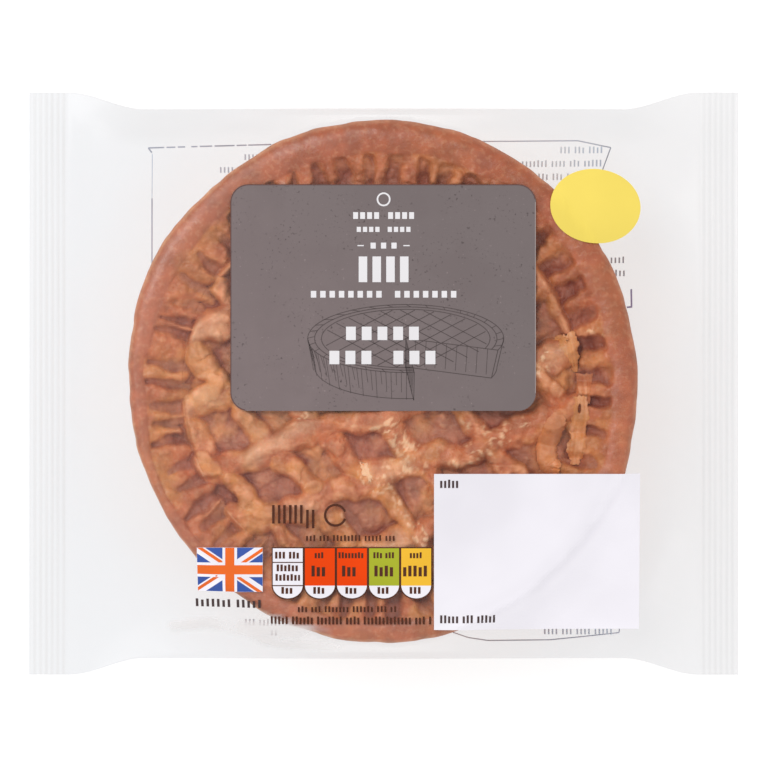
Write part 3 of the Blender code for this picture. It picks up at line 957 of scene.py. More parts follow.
    def measure(self, x: Array, y: Array) -> CrustField:
        """Work out the crust at many places.

        Args:
            x: Places along X.
            y: Places along Y.

        Returns:
            The height and the masks there.
        """
        angle, reach = np.arctan2(y, x), np.hypot(x, y)
        bent_x = x + 1.1 * noise(x, y, 8.5, 41) + 0.55 * noise(x, y, 3.6, 42)
        bent_y = y + 1.1 * noise(x, y, 8.5, 43) + 0.55 * noise(x, y, 3.6, 44)
        floor, lump = self.lid_floor(bent_x, bent_y)
        held = smooth(51.8, 49.2, self.crimps.polar(x, y)[0])
        low, low_crown = self.under.lay(bent_x, bent_y, floor)
        high, high_crown = self.over.lay(bent_x, bent_y, floor)
        over = high > low
        woven = floor + (merge(high, low, 1.1) - floor) * held
        strand = np.where(over, high_crown, low_crown) * held
        blob, size = speckle(bent_x, bent_y, 3.3, 57)
        blob = (1.0 - np.clip(blob / 0.78, 0.0, 1.0) ** 2) * (0.3 + 0.7 * size)
        bumps = 1.1 * (lump - 0.40) + 0.9 * (blob - 0.35)
        woven = woven + bumps * held * np.where(over, 0.45, 1.0) * smooth(0.1, 0.8, strand)
        ball = sum(knob.lay(bent_x, bent_y) for knob in self.knobs)
        woven = woven + ball
        crimped, finger, slot = self.crimps.lay(bent_x * 0.6 + x * 0.4, bent_y * 0.6 + y * 0.4, floor)
        crimped = crimped + 0.8 * (blob - 0.35) * finger
        height = merge(woven, crimped, 0.6)
        slot = np.where(crimped > woven - 0.3, slot, 0.0)
        finger = np.where(crimped > woven, finger, 0.0)
        strand = np.where(crimped > woven, 0.0, strand)
        past = reach - self.crimp_line(angle)
        share = np.clip(past / np.maximum(past + self.outline(angle) - reach, 1e-3), 0.0, 1.0)
        band = smooth(-0.5, 0.5, past)
        height = height * (1 - band) + self.band_height(share) * band
        solid = np.maximum(np.maximum(finger, strand), band)
        rough = 0.62 * layered(bent_x, bent_y, 3.2, 61) * (1 - 0.70 * band)
        rough = rough + 0.28 * layered(x, y, 1.4, 65, 2) * (1 - 0.78 * band)
        crumb = self.crumbs(bent_x, bent_y, over, band, solid)
        # Painted highlight: a thin bright line along the rim's outer edge, stronger towards -X.
        edge_highlight = smooth(0.80, 0.96, share) * (0.35 + 0.65 * smooth(25.0, -35.0, x)) * band
        edge_highlight = edge_highlight * (0.65 + 0.35 * noise(x, y, 3.0, 95))
        gold = layered(x, y, 13.0, 91, 2) + 0.5 * layered(x, y, 4.5, 93, 2) + 0.35 * (1 - over) * held
        fired = finger * smooth(0.0, 0.5, noise(x, y, 6.5, 97)) * smooth(-20.0, 30.0, x)
        gold = gold + 0.45 * ball + 0.9 * fired
        gold = smooth(-0.25, 0.85, gold + 0.6 * (lump - 0.3))
        # Painted highlight in patches on the strands' crowns, more on the upper strands and towards -X.
        crest_highlight = smooth(-0.25, 0.6, layered(x, y, 12.0, 99, 2)) * smooth(0.40, 0.95, strand)
        crest_highlight = crest_highlight * (0.32 + 0.20 * smooth(20.0, -20.0, x)) * np.where(over, 1.0, 0.45)
        well = (1 - np.clip(np.maximum(strand, finger) * 1.6, 0, 1)) * (1 - band) * (1 - slot)
        height = height + rough + 0.40 * crumb
        over_top = self.highest + 0.7 * np.tanh((height - self.highest) / 0.7)
        height = np.where(height > self.highest, over_top, height)
        # Crumbs, which partly stand for wet glints, joined with painted highlights on crests and the rim's
        # edge.
        pale = np.maximum(np.maximum(crumb, crest_highlight), 0.52 * edge_highlight)
        return CrustField(height, band, finger, strand, gold, well, slot * (1 - band), pale)

    def height(self, x: Array, y: Array) -> Array:
        """Height of the crust at many places."""
        return self.measure(x, y).height


# ---- The film's shape ------------------------------------------------------
@dataclass(frozen=True)
class FilmCrease:
    """A soft crease painted on the film: a painted highlight along its ridge and painted shade on a flank
    beside it.
    """

    points: tuple[Point, ...]
    width: float
    # veil is the strength of the painted highlight, tone that of the painted shade.
    veil: float
    tone: float

    def reach(self, x: Array, y: Array, wider: float = 1.0) -> Array:
        """Share of the crease at each place, 1 on its line and 0 beyond it.

        Args:
            x: Places along X.
            y: Places along Y.
            wider: Times its usual width.

        Returns:
            The share at each place.
        """
        share = np.zeros(x.shape)
        for start, end in zip(self.points, self.points[1:]):
            share = np.maximum(share, CrumbStreak(start, end, self.width * wider).reach(x, y))
        return share


@dataclass
class FilmShape:
    """The clear tube of film: drawn over the pie and sealed flat at both ends."""

    length: float = 183.5
    seal_width: float = 150.6
    body_width: float = 142.0
    seal_depth: float = 10.4
    seal_height: float = 14.0
    side_height: float = 18.0
    side_fold: float = 9.0
    side_inset: float = 1.4
    flare_start: float = 0.76
    rib_count: int = 7
    rib_height: float = 0.22
    clearance: float = 0.10
    settle_steps: int = 1500
    quick_steps: int = 300
    body_columns: int = 176
    seal_columns: int = 37
    flat_rows: int = 157
    fold_rows: int = 5
    base_radius: float = 57.0
    rim_radius: float = 63.0
    rim_height: float = 38.0
    slope_power: float = 1.4
    floor_gap: float = 0.08
    net_reach: float = 68.1
    net_step: float = 0.3

    def __post_init__(self) -> None:
        """Lay out the columns and rows."""
        self.half = self.length / 2 - self.seal_depth
        body = np.linspace(-self.half, self.half, self.body_columns)
        seal = np.linspace(self.half, self.length / 2, self.seal_columns)[1:]
        self.columns = np.concatenate([-seal[::-1], body, seal])
        self.rows = np.linspace(-1.0, 1.0, self.flat_rows)

    def edge_share(self, x: Array) -> Array:
        """0 at the middle of the pack's sides and 1 at its end seals."""
        return smooth(0.0, 1.0, np.clip(np.abs(x) / self.half, 0, 1))

    def half_width(self, x: Array) -> Array:
        """Half width of the pack at each place along it."""
        flare = smooth(self.flare_start, 1.0, np.clip(np.abs(x) / self.half, 0, 1))
        return (self.body_width + flare * (self.seal_width - self.body_width)) / 2

    def edge_height(self, x: Array) -> Array:
        """Height of the middle of the side fold."""
        return self.side_height + self.edge_share(x) * (self.seal_height - self.side_height)

    def fold_half(self, x: Array) -> Array:
        """Half the height of the side fold."""
        return self.side_fold / 2 * (1 - self.edge_share(x)) + 0.14

    def inset(self, x: Array) -> Array:
        """How far the side fold's upper and lower edge stand in."""
        return self.side_inset * (1 - self.edge_share(x)) + 0.3

    def wrinkles(self, x: Array, y: Array) -> Array:
        """Soft tension folds that run out from the pie to the seals.

        Args:
            x: Places along X.
            y: Places along Y.

        Returns:
            Their height at each place.
        """
        angle, reach = np.arctan2(y, x), np.hypot(x, y)
        c, s = np.cos(angle) * 40, np.sin(angle) * 40
        out = smooth(63.0, 76.0, reach) * smooth(1.0, 0.86, np.abs(y) / self.half_width(x))
        folds = 0.50 * noise(c, s, 9.0, 131) + 0.28 * noise(c, s, 4.0, 132)
        inside = smooth(self.half, self.half - 7.0, np.abs(x))
        pucker = smooth(self.half - 22.0, self.half - 3.0, np.abs(x)) * inside
        ripple = 0.30 * noise(x * 0.25, y, 7.0, 133)
        return folds * out * inside + ripple * pucker

    def ribs(self, x: Array) -> Array:
        """Height of the end seals' ribs."""
        into = np.clip((np.abs(x) - self.half) / self.seal_depth, 0.0, 1.0)
        fade = smooth(0.0, 0.06, into) * smooth(1.0, 0.97, into)
        return self.rib_height * fade * np.cos(2 * math.pi * self.rib_count * into)

    def settle(self, crust: CrustShape) -> None:
        """Draw the film tight over the pie and up from under it.

        Args:
            crust: The pie's upper surface.
        """
        x = np.broadcast_to(self.columns, (len(self.rows), len(self.columns)))
        flat = self.half_width(x) - self.inset(x)
        y = flat * self.rows[:, None]
        self.x, self.y = x, y
        held = np.zeros(x.shape, bool)
        held[0], held[-1] = True, True
        held |= np.abs(x) >= self.half - 1e-6
        wave = 0.35 * noise(x * 0.2, y, 26.0, 141) * smooth(self.half - 8.0, self.half, np.abs(x))
        under = self.obstacle(crust, x, y)
        edge = self.edge_height(x)
        upper, lower = edge + self.fold_half(x), edge - self.fold_half(x)
        start = self.rim_height + self.slope(x, y, self.rim_radius) * (upper - self.rim_height)
        self.top = self.relax(np.where(held, upper, np.maximum(start, under)), under, held, 1.0)
        self.gap = self.top - under
        reach = np.hypot(x, y)
        wall = np.clip((reach - self.base_radius) / 8.0, 0.0, 1.0) * 34.0 + 0.25
        above = np.where(reach < 66.0, wall, 99.0)
        start = self.slope(x, y, self.base_radius) * lower
        low = self.relax(np.where(held, lower, np.minimum(start, above)), above, held, -1.0)
        free = smooth(0.3, 2.5, self.gap)
        self.top = self.top + self.wrinkles(x, y) * free * ~held + wave
        low = np.maximum(low, self.floor_gap) + wave + 0.4 * self.wrinkles(-x, y) * ~held
        self.low = np.maximum(low, self.floor_gap)

    def obstacle(self, crust: CrustShape, x: Array, y: Array) -> Array:
        """Lowest height that the upper film can have at each of its points.

        Args:
            crust: The pie's upper surface.
            x: The points' places along X.
            y: The points' places along Y.

        Returns:
            The heights, far below the floor where there is no pie.
        """
        side = np.arange(-self.net_reach, self.net_reach + 0.1, self.net_step)
        fine_x, fine_y = np.meshgrid(side, side)
        past = np.hypot(fine_x, fine_y) - crust.outline(np.arctan2(fine_y, fine_x))
        fine = np.where(past < 0.4, crust.height(fine_x, fine_y) + self.clearance, -99.0)
        for axis in (0, 1):
            fine = np.max([np.roll(fine, shift, axis=axis) for shift in (-2, -1, 0, 1, 2)], axis=0)
        column, row = (np.rint((place + self.net_reach) / self.net_step).astype(int) for place in (x, y))
        last = len(side) - 1
        return fine[np.clip(row, 0, last), np.clip(column, 0, last)]

    def slope(self, x: Array, y: Array, start: float) -> Array:
        """Share of the way that the film has gone from a circle to the pack's edge.

        Args:
            x: Places along X.
            y: Places along Y.
            start: The circle's radius.

        Returns:
            0 up to the circle and 1 at the edge, steepest by the circle.
        """
        angle = np.arctan2(y, x)
        to_end = self.half / np.maximum(np.abs(np.cos(angle)), 1e-6)
        to_side = self.body_width / 2 / np.maximum(np.abs(np.sin(angle)), 1e-6)
        way = np.maximum(np.minimum(to_end, to_side) - start, 1.0)
        travel = np.clip((np.hypot(x, y) - start) / way, 0, 1)
        return 1 - (1 - travel) ** self.slope_power

    def relax(self, sheet: Array, limit: Array, held: Array, side: float) -> Array:
        """Let a stretched sheet settle against a solid.

        Args:
            sheet: The heights to start from.
            limit: Heights that the sheet can't pass.
            held: Where the sheet stays as it is.
            side: 1 where the solid is under the sheet and -1 where it is over it.

        Returns:
            The settled heights.
        """
        press = np.maximum if side > 0 else np.minimum
        for _ in range(self.settle_steps):
            mean = sheet.copy()
            mean[1:-1, 1:-1] = (sheet[:-2, 1:-1] + sheet[2:, 1:-1] + sheet[1:-1, :-2] + sheet[1:-1, 2:]) / 4
            sheet = np.where(held, sheet, press(mean, limit))
        return sheet

    def sample(self, sheet: Array, x: Array, y: Array) -> Array:
        """Read one of the film's grids at any places.

        Args:
            sheet: Values on the film's rows and columns.
            x: Places along X.
            y: Places along Y.

        Returns:
            The values there.
        """
        x, y = np.asarray(x, float), np.asarray(y, float)
        column = np.interp(x, self.columns, np.arange(len(self.columns)))
        flat = self.half_width(x) - self.inset(x)
        row = (np.clip(y / flat, -1, 1) + 1) / 2 * (len(self.rows) - 1)
        i = np.clip(np.floor(row).astype(int), 0, len(self.rows) - 2)
        j = np.clip(np.floor(column).astype(int), 0, len(self.columns) - 2)
        fi, fj = row - i, column - j
        near = sheet[i, j] * (1 - fj) + sheet[i, j + 1] * fj
        far = sheet[i + 1, j] * (1 - fj) + sheet[i + 1, j + 1] * fj
        return near * (1 - fi) + far * fi

    def top_at(self, x: Array, y: Array) -> Array:
        """Height of the upper film at any places."""
        return self.sample(self.top, x, y)

    def low_at(self, x: Array, y: Array) -> Array:
        """Height of the lower film at any places."""
        return self.sample(self.low, x, y)


# ---- The pie's pieces ------------------------------------------------------
@dataclass(frozen=True)
class TornFlake:
    """A thin piece of crust that has come loose and lies under the film."""

    name: str
    spine: tuple[Point, ...]
    widths: tuple[float, ...]
    seed: int
    lift: float = 0.55
    ragged: float = 0.38
    pale: float = 0.3
    gold: float = 0.8
    shade: float = 0.0
    slit: float = -1.0
    fibres: float = 1.0
    ends: float = 2.4
    lumps: float = 0.16
    bake: float = 0.0
    round_power: float = 7.0
    rows: int = 120
    columns: int = 30

    def middle(self) -> tuple[Array, Array, Array, Array, Array]:
        """Lay out the middle line.

        Returns:
            The share along it, X and Y of its points, and X and Y of the
            direction across it there.
        """
        t = np.linspace(0, 1, self.rows)
        knots = np.linspace(0, 1, len(self.spine))
        x, y = (np.interp(t, knots, [point[k] for point in self.spine]) for k in (0, 1))
        bend = np.sin(math.pi * t) ** 0.5
        x, y = (soften(line[:, None], 90)[:, 0] * bend + line * (1 - bend) for line in (x, y))
        size = np.hypot(np.gradient(x), np.gradient(y))
        return t, x, y, -np.gradient(y) / size, np.gradient(x) / size

    def build(self, crust: CrustShape, film: FilmShape) -> bpy.types.Object:
        """Make the closed flake, with torn edges and ends.

        Args:
            crust: What it lies on.
            film: What holds it down.

        Returns:
            The piece.
        """
        t, cx, cy, nx, ny = self.middle()
        length = np.hypot(np.diff(cx), np.diff(cy)).sum()
        across = np.sin(np.linspace(-1, 1, self.columns) * math.pi / 2)[None, :]
        along = (t * length)[:, None]
        flat = np.zeros((1, self.columns))
        tear = self.ragged * self.ends
        near = tear * noise(across * 3.5, flat, 1.0, self.seed + 6) * smooth(0.30, 0.0, t)[:, None]
        far = tear * noise(across * 3.5 + 20, flat, 1.0, self.seed + 6) * smooth(0.70, 1.0, t)[:, None]
        run = np.clip(along + near + far, 0.0, length) / length
        sides = np.where(across < 0, 0.0, 30.0)
        rough = noise(run * length, sides, 1.5, self.seed)
        rough = self.ragged * (rough + 0.6 * noise(run * length, sides, 0.6, self.seed + 1))
        half = np.interp(run, np.linspace(0, 1, len(self.widths)), self.widths) / 2
        out = across * (half + rough)
        x = np.interp(run, t, cx) + np.interp(run, t, nx) * out
        y = np.interp(run, t, cy) + np.interp(run, t, ny) * out
        base = soften(crust.height(x, y), 30)
        base = np.minimum(base.max(axis=1, keepdims=True) * 0.55 + base * 0.45, 38.5)
        fibre = 0.75 * self.fibres * noise(out * 2.6, run * length * 0.14, 1.3, self.seed + 2)
        fibre = fibre + (1.3 - self.fibres) * noise(out, run * length, 2.0, self.seed + 3)
        edge = (1 - np.abs(across) ** self.round_power) ** 0.5
        top = base + self.lift * edge + self.lumps * fibre * edge
        hole = np.zeros(x.shape)
        if self.slit >= 0:
            hole = smooth(1.0, 0.6, np.hypot((run - self.slit) * length / 1.3, (out + 0.35) / 0.45))
        top = np.minimum(top, film.top_at(x, y) - 0.06) - 1.2 * hole
        under = np.minimum(top - 0.12, base - 0.35)
        tip = np.zeros((self.rows, 1))
        tip[0] = tip[-1] = 1.0
        under = under * (1 - tip) + (top - 0.05) * tip
        pairs = ((x, x), (y, y), (top, under))
        sheets = [np.concatenate([over, below[:, ::-1]], axis=1) for over, below in pairs]
        points = np.stack(sheets, axis=-1).reshape(-1, 3)
        faces = [grid_faces(self.rows, 2 * self.columns, closed=True)]
        step = np.arange(self.columns - 1)
        for first, order in ((0, 1), ((self.rows - 1) * 2 * self.columns, -1)):
            last = first + 2 * self.columns - 1
            cap = np.stack([first + step, first + step + 1, last - step - 1, last - step], axis=1)
            faces.append(cap[:, ::order])
        pale = np.clip(self.pale + 0.18 * fibre + 0.12 * noise(run * length, out, 4.0, self.seed + 4), 0, 1)
        # Painted shade in the slit and along the flake's edges, and a painted highlight on its raised fibres.
        pit, crown = np.clip(hole + 0.2 * (1 - edge), 0, 1), np.clip(fibre, 0.0, 0.6)
        masks = mask_set(x.shape, gold=self.gold, slot=self.shade, pale=pale * (1 - hole), wet=0.4, pit=pit,
                         bake=self.bake, crown=crown)
        masks = {label: np.concatenate([part, part[:, ::-1]], axis=1) for label, part in masks.items()}
        return make_mesh(self.name, points, np.concatenate(faces), masks)


@dataclass
class PorkPie:
    """The pie: its lid with the lattice, and its rim, wall and base."""

    crust: CrustShape
    film: FilmShape
    lid_reach: float = 51.6
    lid_cells: int = 290
    rim_start: float = 50.2
    sectors: int = 940
    crimp_rows: int = 30
    wall_rows: int = 26
    base_rows: int = 8
    floor_gap: float = 0.6
    flakes: tuple[TornFlake, ...] = (
        TornFlake("pastry_flake_long",
                  ((50.2, -3.0), (49.9, -7.6), (49.3, -13.0), (48.7, -17.0), (48.7, -20.6)),
                  (3.4, 4.0, 4.0, 4.3, 2.0), 501,
                  lift=0.26, pale=0.05, gold=0.85, slit=0.18, ends=0.9, bake=0.12, ragged=0.45),
        TornFlake("pastry_flake_dark",
                  ((50.9, 2.7), (50.9, 0.0), (50.9, -2.4), (50.7, -5.0)),
                  (4.6, 3.9, 3.2, 3.2), 511,
                  pale=0.0, gold=0.25, shade=0.15, lift=0.20, ragged=0.15),
        TornFlake("pastry_flake_pale",
                  ((46.2, 12.9), (46.9, 10.6), (47.4, 8.4), (48.0, 5.4), (48.6, 2.9)),
                  (3.4, 5.6, 4.6, 2.6, 0.9), 521,
                  pale=0.10, gold=1.0, ragged=0.50, lift=0.40),
        TornFlake("pastry_flake_point",
                  ((43.4, 11.9), (44.8, 11.2), (46.4, 10.4)),
                  (0.8, 1.7, 2.4), 527,
                  pale=0.12, gold=1.0, lift=0.45),
        TornFlake("pastry_curl",
                  ((45.7, -8.3), (43.5, -9.8), (42.2, -13.6), (41.0, -17.4), (42.0, -20.8), (44.8, -21.6)),
                  (3.8, 5.0, 5.6, 5.2, 5.2, 3.6), 541,
                  pale=-0.2, gold=0.55, lift=1.3, round_power=2.0, ragged=0.30, fibres=0.15, lumps=0.45,
                  bake=0.14),
        TornFlake("pastry_flake_white",
                  ((-6.0, -19.8), (-4.6, -22.0), (-3.2, -24.8)),
                  (1.0, 2.8, 0.9), 561,
                  pale=0.95, gold=0.5, lift=0.45, ragged=0.6))

    def masks(self, x: Array, y: Array, z: Array, spot: CrustField, hollow: tuple[Array, Array]) -> Masks:
        """Work out the values that the pastry's material reads.

        Args:
            x: Places along X.
            y: Places along Y.
            z: Height of the crust there.
            spot: The crust as measured there.
            hollow: How far each place lies below those close to it, and below
                those round it.

        Returns:
            The masks by name.
        """
        gap = self.film.top_at(x, y) - z
        damp = layered(x, y, 9.0, 151, 2) + 0.4 * smooth(-20, 40, x)
        wet = smooth(0.85, 0.15, gap) * smooth(-0.35, 0.25, damp)
        # Painted shade in creases and hollows, from how far a place lies below its neighbours, and in patches
        # of the wells.
        pit = 0.62 * smooth(0.12, 1.15, hollow[0]) + 0.60 * smooth(0.3, 2.3, hollow[1])
        pit = pit + 0.30 * spot.well * smooth(0.0, 0.6, layered(x, y, 9.0, 159, 2))
        pit = np.clip(pit, 0, 1) * (1 - 0.5 * spot.band)
        pit = pit * (0.34 + 0.88 * smooth(-0.50, 0.50, layered(x, y, 10.0, 157, 2)))
        # Painted highlight on raised places, weaker on the band and the fingers.
        crown = smooth(0.05, 0.75, -hollow[0]) * (1 - 0.7 * spot.band) * (1 - 0.75 * spot.finger)
        bake = smooth(-30.0, 72.0, 0.7 * x + 0.6 * y + 14 * noise(x, y, 22.0, 153))
        browned = smooth(-5.0, 60.0, y + 0.15 * x + 9 * noise(x, y, 16.0, 154))
        bake = bake * (1 - 0.35 * spot.strand)
        bake = bake + spot.finger * (0.35 * browned + 0.24 * smooth(0.0, -35.0, x))
        scorched = self.crust.scorch.lay(x, y) * (0.75 + 0.45 * layered(x, y, 2.4, 163, 2))
        bake = np.clip(bake + 0.75 * scorched, 0, 1) * (1 - spot.band) + 0.95 * browned * spot.band
        gold = np.clip(spot.gold + 0.6 * scorched, 0, 1)
        band = spot.band * (1 - 0.7 * np.clip(scorched, 0, 1))
        return mask_set(x.shape, gold=gold, band=band, well=spot.well, slot=spot.slot, pale=spot.pale,
                        wet=wet, pit=pit, bake=bake, crown=crown)

    def build_lid(self) -> bpy.types.Object:
        """Make the lid with its lattice and the inner ends of the fingers."""
        side = np.linspace(-1.0, 1.0, self.lid_cells)
        a, b = np.meshgrid(side, side)
        wide = np.abs(a) > np.abs(b)
        radius = np.where(wide, a, b)
        with np.errstate(divide="ignore", invalid="ignore"):
            turn = np.where(wide, math.pi / 4 * b / a, math.pi / 2 - math.pi / 4 * a / b)
        turn = np.nan_to_num(turn)
        x = self.lid_reach * radius * np.cos(turn)
        y = self.lid_reach * radius * np.sin(turn)
        spot = self.crust.measure(x, y)
        z = spot.height
        hollow = (soften(z, 24) - z, soften(z, 160) - z)
        masks = self.masks(x, y, z, spot, hollow)
        z = z - 1.2 * smooth(51.1, 51.6, np.hypot(x, y))
        points = np.stack([x, y, z], axis=-1).reshape(-1, 3)
        return make_mesh("crust_lid", points, grid_faces(*x.shape), masks)

    def build_rim(self) -> bpy.types.Object:
        """Make the crimped fingers, the rim's band, the wall and the base."""
        angle = np.linspace(0.0, 2 * math.pi, self.sectors, endpoint=False)
        c, s = np.cos(angle), np.sin(angle)
        line, edge = self.crust.crimp_line(angle), self.crust.outline(angle)
        radii = [self.rim_start + (line - self.rim_start) * t for t in np.linspace(0, 1, self.crimp_rows)]
        inner = np.linspace(0, 0.45, 10)[1:]
        outer = 0.45 + 0.55 * np.sin(np.linspace(0, math.pi / 2, 16)[1:])
        radii += [line + (edge - line) * t for t in np.concatenate([inner, outer])]
        radius = np.stack(radii)
        x, y = radius * c, radius * s
        spot = self.crust.measure(x, y)
        z = spot.height
        hollow = (soften(z, 20, closed=True) - z, soften(z, 120, closed=True) - z)
        masks = self.masks(x, y, z, spot, hollow)
        z = z - 1.2 * smooth(50.9, 50.3, radius)
        wall = self.wall(angle, radius[-1], z[-1])
        points = np.stack([np.concatenate(pair) for pair in zip((x, y, z), wall)], axis=-1)
        wall_x, wall_y, wall_z = wall
        cloud = layered(wall_x + wall_z, wall_y - wall_z, 21.0, 161, 2)
        # Painted shade at the wall's foot by the floor; the bake mask also darkens towards the foot.
        baked = 0.38 + 0.35 * cloud + 0.30 * smooth(14.0, 3.0, wall_z)
        tone = mask_set(wall_x.shape, gold=0.62 + 0.35 * cloud, band=0.50, pit=0.5 * smooth(3.0, 0.0, wall_z),
                        bake=np.clip(baked, 0, 1))
        masks = {label: np.concatenate([masks[label], tone[label]]) for label in masks}
        faces = grid_faces(*points.shape[:2], closed=True)
        return make_mesh("crust_case", points.reshape(-1, 3), faces, masks)

    def wall(self, angle: Array, radius: Array, height: Array) -> tuple[Array, Array, Array]:
        """Lay out the bulging wall and the flat base.

        Args:
            angle: Angle of each sector.
            radius: Radius of the rim's outer edge in each sector.
            height: Height of that edge.

        Returns:
            X, Y and Z, in rows from the rim down to the middle of the base.
        """
        down = np.linspace(0, 1, self.wall_rows + 1)[1:, None]
        c, s = np.cos(angle), np.sin(angle)
        z = self.floor_gap + (height - self.floor_gap) * (1 - down)
        foot = self.crust.base_radius - 0.6
        lean = (1 - down) ** 0.8
        r = foot + (radius - foot) * lean + 0.7 * np.sin(math.pi * down)
        r = r + 0.35 * layered(angle * 60 + 0 * z, z + 0 * angle, 11.0, 171) * np.sin(math.pi * down)
        r = r - 1.4 * smooth(0.93, 1.0, down) ** 2
        inward = np.linspace(1, 0, self.base_rows + 1)[1:, None]
        inner = np.maximum(r[-1] * inward, 0.02)
        r = np.concatenate([r, inner])
        z = np.concatenate([z, np.full(inner.shape, self.floor_gap)])
        return r * c, r * s, z

    def build(self, finish: bpy.types.Material) -> list[bpy.types.Object]:
        """Make all of the pie.

        Args:
            finish: The pastry's material.

        Returns:
            The pieces.
        """
        made = [self.build_lid(), self.build_rim()]
        made += [flake.build(self.crust, self.film) for flake in self.flakes]
        for piece in made[:2]:
            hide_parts("pork_pie")
        for piece in made:
            piece.data.materials.append(finish)
            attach(piece, BODY)
            LOG.info("%s: %d faces", piece.name, len(piece.data.polygons))
        return made


# ---- The film --------------------------------------------------------------
@dataclass
class FilmSleeve:
    """The clear film round the pie, with its two ribbed end seals."""

    shape: FilmShape
    # Creases painted on the film at the lower left: painted highlights with painted shade beside them.
    creases: tuple[FilmCrease, ...] = (
        FilmCrease(((-54.1, -62.2), (-44.8, -61.0), (-36.0, -63.0), (-29.9, -65.2)), 2.0, 0.45, 1.0),
        FilmCrease(((-36.0, -62.2), (-25.7, -62.8), (-15.0, -63.2)), 2.6, 0.80, 0.9),
        FilmCrease(((-31.0, -65.6), (-23.7, -66.6), (-12.0, -67.0)), 1.6, 0.55, 1.0),
        FilmCrease(((-23.5, -60.8), (-27.0, -59.6), (-31.0, -58.9)), 1.4, 0.55, 0.3))

    def ring_rows(self) -> tuple[Array, Array, Array, Masks]:
        """Lay out the tube's rows, once round it.

        Returns:
            X, Y, Z and the masks, in rows round the tube.
        """
        f = self.shape
        x = f.x[:1]
        centre, half, inset = f.edge_height(x), f.fold_half(x), f.inset(x)
        width = f.half_width(x)
        wave = f.top[-1:] - (centre + half)
        turn = np.linspace(0, math.pi, f.fold_rows + 2)[1:-1, None]
        fold_y = (width - inset) + inset * np.sin(turn)
        fold_z = centre + half * np.cos(turn) + wave
        far = (np.broadcast_to(x, fold_y.shape), fold_y, fold_z)
        near = (far[0], -fold_y[::-1], fold_z[::-1])
        ribs = f.ribs(f.x)
        top = (f.x, f.y, f.top + ribs)
        low = (f.x[::-1], f.y[::-1], (f.low + ribs)[::-1])
        rows = [np.concatenate([part[k] for part in (top, far, low, near)]) for k in range(3)]
        x, y, z = rows
        # Masks of the film: its haze, its painted shade, and a warmer tone that round the pie is a painted
        # reflection.
        masks = {"haze": self.haze(x, y, len(f.rows)), "film_shade": self.grey(x, y), "warm_tint_and_reflection": self.warm_tint_and_reflection_share(x, y)}
        return x, y, z, masks

    def grey(self, x: Array, y: Array) -> Array:
        """Painted shade on the film: greyer stripes across the seals' ribs, along the far side and beside the
        creases.

        Args:
            x: Places along X.
            y: Places along Y.

        Returns:
            0 where the film is clear and 1 where it is greyest.
        """
        f = self.shape
        into = np.clip((np.abs(x) - f.half) / f.seal_depth, 0.0, 1.0)
        seal = smooth(0.02, 0.08, into) * smooth(1.0, 0.93, into)
        # Painted shade in stripes across the seals' ribs.
        ribs = seal * (0.5 + 0.5 * np.cos(2 * math.pi * f.rib_count * into))
        ribs = ribs * (0.75 + 0.25 * noise(x * 3, y * 0.1, 2.0, 187))
        # Painted shade along the far side, by the fold.
        far = 0.75 * smooth(61.0, 67.0, y + 1.5 * noise(x, y, 18.0, 189))
        far = far * smooth(f.half, f.half - 22.0, np.abs(x)) * (0.8 + 0.2 * noise(x * 0.3, y, 3.0, 190))
        grey = np.maximum(ribs, far)
        # Painted shade on a flank beside each crease.
        for crease in self.creases:
            flank = crease.reach(x, y + 0.9, 0.8) * smooth(-0.2, 0.4, noise(x, y, 4.0, 193))
            grey = np.maximum(grey, crease.tone * flank)
        return grey

    def warm_tint_and_reflection_share(self, x: Array, y: Array) -> Array:
        """Share of a warmer tone, which the film has round the pie, as a painted reflection of the pie, and
        at +X.
        """
        near = smooth(24.0, 0.0, np.hypot(x, y) - 64.0 + 4 * noise(x, y, 13.0, 188))
        return np.clip(0.55 * near + 0.5 * smooth(-70.0, 80.0, x + 0.6 * y), 0, 1)

    def haze(self, x: Array, y: Array, top_rows: int) -> Array:
        """Milky veil of the film, stronger where it stands off the pie, with a painted highlight along the
        creases.

        Args:
            x: Places along X, in rows round the tube.
            y: Places along Y.
            top_rows: How many of the rows are the upper film.

        Returns:
            The veil's share at each place.
        """
        f = self.shape
        veil = 0.005 + 0.003 * layered(x, y, 30.0, 181, 2)
        gap = smooth(0.3, 3.0, f.gap) * smooth(66.0, 62.0, np.hypot(f.x, f.y))
        side = smooth(30.0, -45.0, f.x + 0.35 * f.y + 14 * noise(f.x, f.y, 30.0, 185))
        reach = np.hypot(f.x, f.y)
        on_rim = (0.022 + 0.015 * smooth(55.0, 60.0, reach)) * side * smooth(66.5, 64.0, reach)
        veil[:top_rows] = veil[:top_rows] + 0.006 * gap + on_rim * (0.6 + 0.4 * gap)
        # Painted highlight along each crease.
        for crease in self.creases:
            streak = crease.reach(f.x, f.y) * smooth(-0.6, 0.4, layered(f.x * 0.4, f.y, 4.0, 191, 2))
            veil[:top_rows] = np.maximum(veil[:top_rows], crease.veil * streak)
        seal = smooth(f.half - 0.5, f.half + 0.5, np.abs(x))
        return veil + 0.012 * seal

    def build(self, finish: bpy.types.Material) -> bpy.types.Object:
        """Make the sleeve of film.

        Args:
            finish: The film's material.

        Returns:
            The piece, which stands for the film's CAD solid.
        """
        x, y, z, masks = self.ring_rows()
        points = np.stack([x.T, y.T, z.T], axis=-1)
        faces = grid_faces(*points.shape[:2], closed=True)
        masks = {label: values.T for label, values in masks.items()}
        sleeve = make_mesh("film_sleeve", points.reshape(-1, 3), faces, masks)
        sleeve.data.materials.append(finish)
        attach(sleeve, BODY)
        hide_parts("film_pack")
        LOG.info("%s: %d faces", sleeve.name, len(sleeve.data.polygons))
        return sleeve


